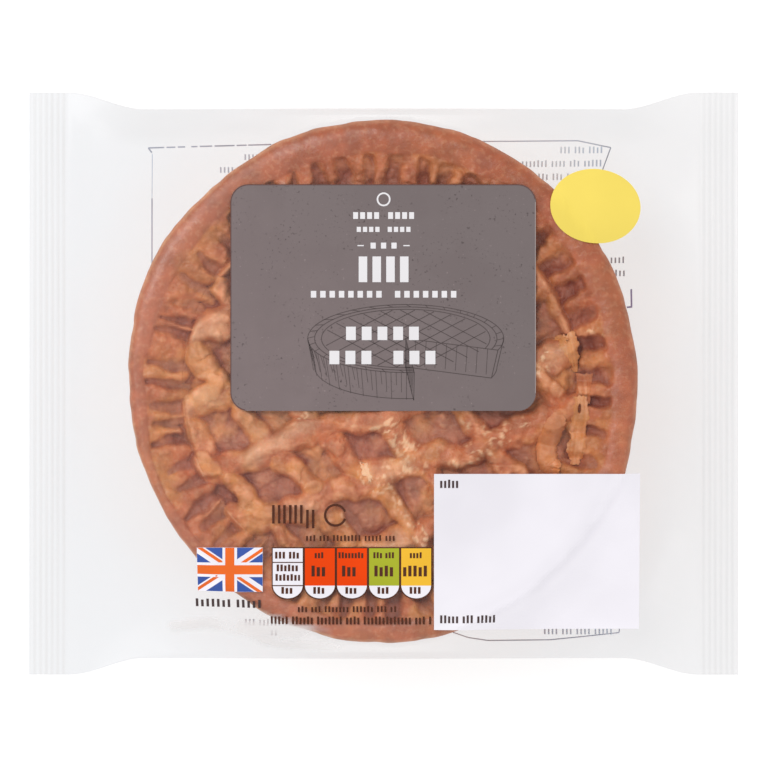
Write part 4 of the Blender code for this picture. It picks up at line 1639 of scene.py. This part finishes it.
# ---- The print -------------------------------------------------------------
Materials = dict[Ink, bpy.types.Material]


class PrintLayer:
    """Flat printed shapes that are cut fine and laid on the film.

    They stand a little higher where the film bends over the pie's rim, so
    that the film doesn't come through them there.
    """

    rim_lift: float = 0.15

    def __init__(self, name: str, surface: Surface, inks: Materials, step: float = 0.93) -> None:
        """Start an empty layer.

        Args:
            name: The piece's name.
            surface: Gives the film's height at many places.
            inks: The materials by ink.
            step: Longest edge of a face, in millimetres.
        """
        self.name, self.surface, self.step = name, surface, step
        self.materials = inks
        self.used: list[Ink] = []
        self.mesh = bmesh.new()

    def polygon(self, points: Sequence[Point], ink: Ink, lift: float = 0.14) -> None:
        """Add one flat shape.

        Args:
            points: Its outline, anticlockwise.
            ink: Its colour.
            lift: Its height above the film.
        """
        if ink not in self.used:
            self.used.append(ink)
        corners = [self.mesh.verts.new((x, y, lift)) for x, y in points]
        face = self.mesh.faces.new(corners)
        face.material_index = self.used.index(ink)

    def bar(self, low: Point, high: Point, ink: Ink, lift: float = 0.14) -> None:
        """Add an upright rectangle between two corners."""
        self.polygon([low, (high[0], low[1]), high, (low[0], high[1])], ink, lift)

    def line(self, points: Sequence[Point], width: float, ink: Ink, lift: float,
             closed: bool = False) -> None:
        """Add a line of even width.

        Args:
            points: Where the line goes.
            width: Its width.
            ink: Its colour.
            lift: Its height above the film.
            closed: Whether its end meets its start.
        """
        path = np.array(list(points) + ([points[0]] if closed else []), float)
        before, after = np.roll(path, 1, axis=0), np.roll(path, -1, axis=0)
        if closed:
            before[0], after[-1] = path[-2], path[1]
        else:
            before[0], after[-1] = path[0], path[-1]
        run = after - before
        run /= np.maximum(np.hypot(run[:, 0], run[:, 1]), 1e-9)[:, None]
        normal = np.stack([-run[:, 1], run[:, 0]], axis=1) * width / 2
        right, left = path - normal, path + normal
        for i in range(len(path) - 1):
            quad = (right[i], right[i + 1], left[i + 1], left[i])
            self.polygon([tuple(corner) for corner in quad], ink, lift)

    def words(self, low: Point, high: Point, ink: Ink, lift: float, seed: int, pitch: float,
              fill: float) -> None:
        """Add a row of plain blocks that stands for a row of print.

        Args:
            low: The row's lower left corner.
            high: Its upper right corner.
            ink: Its colour.
            lift: Its height above the film.
            seed: Picks where its gaps are.
            pitch: Distance from block to block.
            fill: Share of the pitch that a block takes.
        """
        rng = np.random.default_rng(seed)
        x, run = low[0], 0
        while x + pitch * fill <= high[0] + 0.2 * pitch:
            tall = (high[1] - low[1]) * (0.86 if rng.random() < 0.6 else 1.0)
            self.bar((x, low[1]), (min(x + pitch * fill, high[0]), low[1] + tall), ink, lift)
            run += 1
            x += pitch
            if run >= 3 and rng.random() < 0.25:
                x += pitch * 0.7
                run = 0

    def build(self, *nodes: str) -> bpy.types.Object:
        """Cut the shapes fine, lay them on the film and make the piece.

        Args:
            nodes: CAD nodes that the piece stands for.

        Returns:
            The piece.
        """
        corners = np.array([vertex.co[:2] for vertex in self.mesh.verts])
        for axis in (0, 1):
            low, high = corners[:, axis].min(), corners[:, axis].max()
            normal = np.eye(3)[axis]
            for cut in np.arange(low + self.step, high, self.step):
                everything = self.mesh.verts[:] + self.mesh.edges[:] + self.mesh.faces[:]
                bmesh.ops.bisect_plane(
                    self.mesh, geom=everything, dist=1e-5, plane_co=cut * normal, plane_no=normal)
        places = np.array([vertex.co[:] for vertex in self.mesh.verts])
        over_rim = self.rim_lift * smooth(57.0, 61.0, np.hypot(places[:, 0], places[:, 1]))
        height = self.surface(places[:, 0], places[:, 1]) + places[:, 2] + over_rim
        for vertex, z in zip(self.mesh.verts, height):
            vertex.co = (vertex.co.x * MM, vertex.co.y * MM, z * MM)
        mesh = bpy.data.meshes.new(self.name)
        self.mesh.to_mesh(mesh)
        self.mesh.free()
        for ink in self.used:
            mesh.materials.append(self.materials[ink])
        made = add_object(self.name, mesh)
        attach(made, BODY)
        if nodes:
            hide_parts(*nodes)
        LOG.info("%s: %d faces", made.name, len(mesh.polygons))
        return made


def arc(centre: Point, radii: Point, start: float, end: float, steps: int) -> list[Point]:
    """Points on part of an ellipse.

    Args:
        centre: The ellipse's centre.
        radii: Its two radii.
        start: Angle of the first point, in degrees.
        end: Angle of the last point.
        steps: Number of steps between them.

    Returns:
        The points.
    """
    turns = [math.radians(start + (end - start) * i / steps) for i in range(steps + 1)]
    return [(centre[0] + radii[0] * math.cos(t), centre[1] + radii[1] * math.sin(t)) for t in turns]


def rounded(low: Point, high: Point, radius: float, steps: int = 8) -> list[Point]:
    """Outline of a rectangle with round corners, anticlockwise.

    Args:
        low: Its lower left corner.
        high: Its upper right corner.
        radius: Radius of its corners.
        steps: Steps in each corner.

    Returns:
        The outline.
    """
    spots = ((high[0] - radius, high[1] - radius), (low[0] + radius, high[1] - radius),
             (low[0] + radius, low[1] + radius), (high[0] - radius, low[1] + radius))
    outline: list[Point] = []
    for quarter, spot in enumerate(spots):
        outline += arc(spot, (radius, radius), 90.0 * quarter, 90.0 * (quarter + 1), steps)
    return outline


def clipped(points: Sequence[Point], low: Point, high: Point) -> list[Point]:
    """Cut a convex outline to a rectangle.

    Args:
        points: The outline.
        low: The rectangle's lower left corner.
        high: Its upper right corner.

    Returns:
        The part of the outline inside it.
    """
    result = list(points)
    for axis, limit, sign in ((0, low[0], 1), (0, high[0], -1), (1, low[1], 1), (1, high[1], -1)):
        kept: list[Point] = []
        for here, there in zip(result, result[1:] + result[:1]):
            a, b = sign * (here[axis] - limit), sign * (there[axis] - limit)
            if a >= 0:
                kept.append(here)
            if a * b < 0:
                share = a / (a - b)
                kept.append((here[0] + share * (there[0] - here[0]), here[1] + share * (there[1] - here[1])))
        result = kept
    return result


@dataclass
class PackPrint:
    """All print on the pack: panels, marks, strip, flag and the back print."""

    film: FilmShape
    inks: Materials
    panel_low: Point = (-38.75, -6.9)
    panel_high: Point = (38.5, 50.4)
    panel_corner: float = 4.5
    date_low: Point = (12.75, -62.6)
    date_high: Point = (65.2, -22.85)
    date_sag: float = 0.6
    spot_centre: Point = (54.0, 45.2)
    spot_radii: Point = (11.85, 9.7)
    strip_left: float = -28.3
    strip_top: float = -41.5
    cell_pitch: float = 8.12
    flag_low: Point = (-47.2, -52.65)
    flag_high: Point = (-30.6, -41.5)

    def layer(self, name: str, step: float = 0.93, back: bool = False) -> PrintLayer:
        """Start a layer on the upper film, or on the lower one."""
        return PrintLayer(name, self.film.low_at if back else self.film.top_at, self.inks, step)

    def front_panel(self) -> None:
        """Make the slate panel, its plain white print and its line drawing."""
        panel = self.layer("front_panel_sheet")
        panel.polygon(rounded(self.panel_low, self.panel_high, self.panel_corner), Ink.SLATE, 0.14)
        low, high, r = self.panel_low, self.panel_high, self.panel_corner
        inner = rounded((low[0] + 0.12, low[1] + 0.12), (high[0] - 0.12, high[1] - 0.12), r)
        top_left = [p for p in inner if p[1] > high[1] - r or p[0] < low[0] + r]
        count = len(inner)
        start = next(i for i in range(count) if inner[i] in top_left and inner[i - 1] not in top_left)
        run = [inner[(start + i) % count] for i in range(len(top_left))]
        # Painted shadow along the panel's upper and left edge, and a painted highlight along its right edge.
        panel.line(run, 0.24, Ink.SLATE_EDGE_SHADOW, 0.17)
        panel.line([(high[0] - 0.12, low[1] + r), (high[0] - 0.12, high[1] - r)], 0.22, Ink.SLATE_EDGE_HIGHLIGHT, 0.17)
        panel.build("front_panel")
        marks = self.layer("front_panel_marks")
        marks.line(arc((0.0, 46.6), (1.55, 1.55), 0, 360, 36)[:-1], 0.42, Ink.WHITE, 0.19, closed=True)
        for centre, width, y, tall, pitch, fill in (
                (0.0, 15.4, 42.5, 1.7, 1.75, 0.70), (0.0, 13.6, 39.0, 1.3, 1.45, 0.68),
                (0.0, 6.6, 34.9, 1.5, 2.6, 0.50), (0.0, 12.6, 28.9, 6.5, 3.35, 0.62),
                (0.0, 36.8, 22.6, 1.7, 2.3, 0.58), (-0.3, 18.4, 12.7, 3.4, 3.9, 0.62),
                (-0.3, 26.8, 6.6, 3.4, 3.9, 0.62)):
            count = max(1, round(width / pitch))
            pitch = width / (count - 1 + fill)
            for i in range(count):
                if tall < 6 and count > 6 and i == count // 2:
                    continue
                left = centre - width / 2 + i * pitch
                marks.bar((left, y - tall / 2), (left + pitch * fill, y + tall / 2), Ink.WHITE, 0.19)
        for side in (-1, 1):
            marks.bar((side * 5.8 - 0.8, 34.75), (side * 5.8 + 0.8, 35.05), Ink.WHITE, 0.19)
        marks.build()
        self.sketch()

    def sketch(self) -> None:
        """Draw the plain line drawing of a pie with a wedge cut from it."""
        art = self.layer("front_panel_sketch")
        ink, lift, w = Ink.SKETCH, 0.165, 0.20
        cx, cy, rx, ry, deep = 5.6, 11.4, 24.8, 8.6, 7.2
        for grow in (1.0, 0.93, 0.86):
            art.line(arc((cx, cy), (rx * grow, ry * grow), -20, 275, 60), w, ink, lift)
        art.line(arc((cx, cy - deep), (rx * 0.93, ry * 0.93), 180, 275, 22), w, ink, lift)
        art.line(arc((cx, cy - deep), (rx * 0.93, ry * 0.93), -20, 0, 8), w, ink, lift)
        art.line([(cx - rx, cy), (cx - rx * 0.93, cy - deep)], w, ink, lift)
        art.line([(cx + rx, cy), (cx + rx * 0.93, cy - deep)], w, ink, lift)
        for angle in (-20, 275):
            x, y = arc((cx, cy), (rx, ry), angle, angle, 1)[0]
            art.line([(cx, cy), (x, y)], w, ink, lift)
            art.line([(x, y), (cx + (x - cx) * 0.93, y - deep * 0.98)], w, ink, lift)
            art.line([(cx, cy - deep), (cx + (x - cx) * 0.93, y - deep * 0.98)], w, ink, lift)
            for i in range(1, 9):
                share = i / 9
                px, py = cx + (x - cx) * share, cy + (y - cy) * share
                art.line([(px, py), (px - 0.4, py - deep * 0.9)], w * 0.7, ink, lift)
        art.line([(cx, cy), (cx, cy - deep)], w, ink, lift)
        for i in range(30):
            x, y = arc((cx, cy), (rx, ry), 182 + 3.05 * i, 182 + 3.05 * i, 1)[0]
            art.line([(x, y), (cx + (x - cx) * 0.95, y - deep * (0.45 + 0.25 * (i % 3)))], w * 0.7, ink, lift)
        for i in range(26):
            a = -14 + 11.2 * i
            x, y = arc((cx, cy), (rx * 0.93, ry * 0.93), a, a, 1)[0]
            u, v = arc((cx, cy), (rx, ry), a + 3, a + 3, 1)[0]
            art.line([(x, y), (u, v)], w * 0.8, ink, lift)
        for i in range(-3, 4):
            art.line(clipped_chord((cx, cy), (rx * 0.84, ry * 0.84), 5.6 * i, 28.0), w, ink, lift)
        for i in range(-3, 4):
            art.line(clipped_chord((cx, cy), (rx * 0.84, ry * 0.84), 5.6 * i + 1.0, 152.0), w, ink, lift)
        art.build()

    def price_spot(self) -> None:
        """Make the plain yellow spot."""
        spot = self.layer("price_spot_sheet")
        spot.polygon(arc(self.spot_centre, self.spot_radii, 0, 360, 72)[:-1], Ink.YELLOW, 0.16)
        spot.build("price_spot")

    def date_panel(self) -> None:
        """Make the white panel with its two short dark rows."""
        panel = self.layer("date_panel_sheet")
        low, high, sag = self.date_low, self.date_high, self.date_sag
        corners = [(low[0], low[1] + 0.3), (high[0] + sag, low[1] - sag), high, (low[0], high[1])]
        panel.polygon(corners, Ink.PANEL_WHITE, 0.16)
        panel.words((14.3, -26.4), (19.9, -24.3), Ink.CHARCOAL, 0.21, 3, 1.0, 0.55)
        panel.words((14.3, -60.6), (29.3, -58.6), Ink.CHARCOAL, 0.21, 5, 1.0, 0.55)
        panel.build("date_panel")

    def nutrition_strip(self) -> None:
        """Make the strip of five cells with round feet."""
        strip = self.layer("nutrition_strip_sheet")
        top, foot, low = self.strip_top, self.strip_top - 9.6, self.strip_top - 13.1
        fills = (Ink.PANEL_WHITE, Ink.RED, Ink.RED, Ink.GREEN, Ink.AMBER)
        widths = ((6.4, 5.6), (2.6, 4.2), (6.8, 5.0), (5.4, 4.9), (3.2, 6.6))
        for number, (fill, (label, value)) in enumerate(zip(fills, widths)):
            left = self.strip_left + number * self.cell_pitch
            right = left + self.cell_pitch
            middle, half = (left + right) / 2, self.cell_pitch / 2
            cup = arc((middle, foot), (half - 0.02, foot - low), 180, 360, 20)
            strip.polygon([(left, top + 0.15)] + cup + [(right, top + 0.15)], Ink.BROWN, 0.14)
            cup = arc((middle, foot), (half - 0.30, foot - low - 0.30), 180, 360, 20)
            strip.polygon([(left + 0.28, foot)] + cup[1:-1] + [(right - 0.28, foot)], Ink.PANEL_WHITE, 0.18)
            strip.bar((left + 0.28, foot), (right - 0.28, top - 0.15), fill, 0.18)
            rows = [(1.9, 1.5, label, 0.82), (5.9, 2.7, value, 1.30), (10.8, 1.7, 3.3, 1.05)]
            if number == 0:
                rows = [(1.9, 1.7, label, 0.95), (5.1, 1.7, value, 0.95), (7.5, 1.7, 6.2, 0.95),
                        (10.8, 1.7, 3.2, 1.05)]
                strip.bar((left + 0.28, top - 3.85), (right - 0.28, top - 3.60), Ink.BROWN, 0.21)
                strip.bar((left + 0.28, foot - 0.12), (right - 0.28, foot + 0.14), Ink.BROWN, 0.21)
            for order, (down, tall, wide, pitch) in enumerate(rows):
                start = (middle - wide / 2, top - down - tall / 2)
                end = (middle + wide / 2, top - down + tall / 2)
                strip.words(start, end, Ink.BROWN, 0.22, 40 + 5 * number + order, pitch, 0.62)
        strip.build("nutrition_strip")

    def flag_patch(self) -> None:
        """Make the flag: a white-edged red cross over diagonals on blue."""
        flag = self.layer("flag_patch_sheet")
        low, high = self.flag_low, self.flag_high
        cx, cy = (low[0] + high[0]) / 2, (low[1] + high[1]) / 2
        half_x, half_y = (high[0] - low[0]) / 2, (high[1] - low[1]) / 2
        flag.bar((low[0] - 0.05, low[1] - 0.05), (high[0] + 0.05, high[1] + 0.05), Ink.PANEL_WHITE, 0.13)
        flag.bar(low, high, Ink.BLUE, 0.18)
        size = math.hypot(half_x, half_y)
        diagonals = ((-1.15, 1.15, Ink.PANEL_WHITE, 0.23), (-0.78, 0.0, Ink.FLAG_RED, 0.28))
        for sx, sy in ((1, 1), (-1, 1), (-1, -1), (1, -1)):
            ux, uy = sx * half_x / size, sy * half_y / size
            for near, far, ink, lift in diagonals:
                corners = [(0, near), (2 * size, near), (2 * size, far), (0, far)]
                band = [(cx + ux * a - uy * b, cy + uy * a + ux * b) for a, b in corners]
                box_low = (min(cx, cx + sx * half_x), min(cy, cy + sy * half_y))
                box_high = (max(cx, cx + sx * half_x), max(cy, cy + sy * half_y))
                shape = clipped(band, box_low, box_high)
                if len(shape) > 2:
                    flag.polygon(shape, ink, lift)
        for wide, ink, lift in ((1.85, Ink.PANEL_WHITE, 0.33), (1.15, Ink.FLAG_RED, 0.38)):
            flag.bar((cx - wide, low[1]), (cx + wide, high[1]), ink, lift)
            flag.bar((low[0], cy - wide), (cx - wide, cy + wide), ink, lift)
            flag.bar((cx + wide, cy - wide), (high[0], cy + wide), ink, lift)
        flag.build("flag_patch")

    def small_print(self) -> None:
        """Make the rows of small print and the mark over the strip."""
        rows = self.layer("small_print_rows")
        for x, low in ((-28.2, -35.4), (-25.4, -35.4), (-22.6, -35.4), (-19.6, -36.6)):
            for left in (x, x + 1.45):
                rows.bar((left, low), (left + 0.66, low + 4.7), Ink.BROWN, 0.15)
        rows.line(arc((-12.2, -33.3), (2.6, 2.6), 20, 340, 30), 0.60, Ink.BROWN, 0.15)
        rows.words((-19.6, -39.8), (3.1, -38.3), Ink.BROWN, 0.15, 11, 0.92, 0.52)
        rows.words((-21.7, -57.8), (3.6, -56.3), Ink.BROWN, 0.15, 12, 0.92, 0.52)
        rows.words((-28.6, -60.9), (12.1, -58.9), Ink.BROWN, 0.15, 13, 0.95, 0.55)
        rows.words((-47.9, -56.8), (-30.0, -54.7), Ink.CHARCOAL, 0.15, 14, 1.38, 0.5)
        rows.build()

    def back_print(self) -> None:
        """Make the back label's thin frame and faint rows, on the lower film."""
        back = self.layer("back_print_rows", 2.0, back=True)
        lift = 0.12
        back.line([(-61.0, 61.1), (-60.1, 59.9)], 0.4, Ink.BACK_LINE, lift)
        back.line([(-60.0, 59.6), (-60.2, 48.4)], 0.2, Ink.BACK_TEXT, lift)
        back.line([(-60.2, 48.2), (-60.5, 20.0)], 0.34, Ink.BACK_LINE, lift)
        dashes = ((-61.0, 4.1), (-56.3, 2.3), (-53.4, 1.9), (-49.9, 1.6), (-47.7, 3.2), (-43.9, 5.2),
                  (-38.2, 2.6), (-35.2, 6.0), (-28.8, 9.0))
        for start, length in dashes:
            rise = 61.1 + 0.034 * (start + 61.0)
            back.line([(start, rise), (start + length, rise + 0.034 * length)], 0.36, Ink.BACK_LINE, lift)
        back.line([(64.5, 24.6), (64.6, 20.2)], 0.45, Ink.BACK_BLUE, lift + 0.04)
        back.line([(64.8, 20.0), (63.4, 19.9)], 0.45, Ink.BACK_BLUE, lift + 0.04)
        top = [(-19.0, 62.5), (-2.0, 62.9), (50.4, 63.0), (58.9, 61.2), (56.6, 54.8)]
        foot = [(18.0, -64.6), (22.0, -65.9), (27.0, -66.6), (43.0, -66.4), (52.0, -65.5), (61.0, -64.5),
                (61.4, -60.0)]
        for run, width in ((top, 0.3), (foot, 0.28)):
            for start, end in zip(run, run[1:]):
                back.line([start, end], width, Ink.BACK_LINE, lift)
        rows = (((45.9, 59.8), 11.3, 21), ((36.0, 56.4), 20.7, 22), ((40.3, 53.0), 8.6, 23),
                ((-36.2, 58.2), 12.0, 24), ((-42.6, 54.9), 14.0, 25), ((59.2, 31.4), 3.6, 26),
                ((60.4, 28.0), 2.6, 27), ((-36.0, -62.9), 12.0, 28), ((-29.2, -65.4), 2.0, 30),
                ((41.6, -65.0), 18.0, 29))
        for low, wide, seed in rows:
            back.words(low, (low[0] + wide, low[1] + 1.7), Ink.BACK_TEXT, lift, seed, 1.0, 0.42)
        back.build()

    def build(self) -> None:
        """Make all the print."""
        self.front_panel()
        self.price_spot()
        self.date_panel()
        self.nutrition_strip()
        self.flag_patch()
        self.small_print()
        self.back_print()


def clipped_chord(centre: Point, radii: Point, shift: float, angle: float) -> list[Point]:
    """Ends of a straight line across an ellipse.

    Args:
        centre: The ellipse's centre.
        radii: Its two radii.
        shift: How far the line passes from the centre along X.
        angle: The line's direction in degrees.

    Returns:
        The two ends.
    """
    turn = math.radians(angle)
    dx, dy = math.cos(turn) / radii[0], math.sin(turn) / radii[1]
    px = shift / radii[0]
    a, b, c = dx * dx + dy * dy, 2 * px * dx, px * px - 1
    root = math.sqrt(max(b * b - 4 * a * c, 0.0))
    ends = ((-b - root) / (2 * a), (-b + root) / (2 * a))
    return [(centre[0] + shift + t * math.cos(turn), centre[1] + t * math.sin(turn)) for t in ends]


# ---- Studio ----------------------------------------------------------------
@dataclass
class Studio:
    """Pale floor, soft light and a camera that looks straight down, in metres."""

    camera_spot: tuple[float, float, float] = (0.0001, -0.0001, 1.1182)
    lens: float = 200.0
    dome: float = 0.70
    key_watts: float = 3.1
    key_size: float = 0.50
    key_spot: tuple[float, float, float] = (-0.28, 0.28, 0.78)
    floor_glow: float = 0.81
    floor_drop: float = 0.0002

    def floor(self) -> None:
        """Make the pale floor, which glows a little like a light table."""
        mesh = bpy.data.meshes.new("studio_floor")
        mesh.from_pydata([(-4, -4, 0), (4, -4, 0), (4, 4, 0), (-4, 4, 0)], [], [(0, 1, 2, 3)])
        made = add_object("studio_floor", mesh)
        made.location.z = -self.floor_drop
        finish, w, shader, _ = start_material("pale_floor")
        w.feed(shader.inputs["Base Color"], w.mix(w.grain(60.0), (0.27, 0.27, 0.27), (0.28, 0.28, 0.28)))
        shader.inputs["Roughness"].default_value = 0.9
        shader.inputs["Specular IOR Level"].default_value = 0.0
        shader.inputs["Emission Color"].default_value = (1.0, 1.0, 1.0, 1.0)
        shader.inputs["Emission Strength"].default_value = self.floor_glow
        mesh.materials.append(finish)

    def lights(self) -> None:
        """Make the soft dome and one broad lamp at the upper left."""
        world = bpy.data.worlds.new("studio_dome")
        world.use_nodes = True
        back = world.node_tree.nodes["Background"]
        back.inputs["Color"].default_value = (1.0, 1.0, 1.0, 1.0)
        back.inputs["Strength"].default_value = self.dome
        bpy.context.scene.world = world
        lamp = bpy.data.lights.new("key_lamp", "AREA")
        lamp.energy = self.key_watts
        lamp.size = self.key_size
        made = add_object("key_lamp", lamp)
        x, y, z = self.key_spot
        made.location = (x, y, z)
        made.rotation_euler = (math.atan2(math.hypot(x, y), z), 0.0, math.atan2(x, -y))

    def camera(self) -> None:
        """Make the camera straight above the middle of the pack."""
        data = bpy.data.cameras.new("camera")
        data.lens = self.lens
        data.sensor_width = 36.0
        made = add_object("camera", data)
        made.location = self.camera_spot
        bpy.context.scene.camera = made

    def build(self) -> None:
        """Make the floor, the lights and the camera."""
        self.floor()
        self.lights()
        self.camera()
        bpy.context.scene.view_settings.view_transform = "Standard"


def main() -> None:
    """Build the studio, the pie, its film and its print."""
    logging.basicConfig(level=logging.INFO, format="%(name)s %(message)s")
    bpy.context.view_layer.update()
    Studio().build()
    mottle = mottle_group()
    crust = CrustShape()
    film = FilmShape()
    film.settle(crust)
    LOG.info("film settled")
    PorkPie(crust, film).build(PastryFinish().build(mottle))
    FilmSleeve(film).build(FilmFinish().build())
    PackPrint(film, {ink: ink.value.build(mottle) for ink in Ink}).build()


if __name__ == "__main__":
    main()
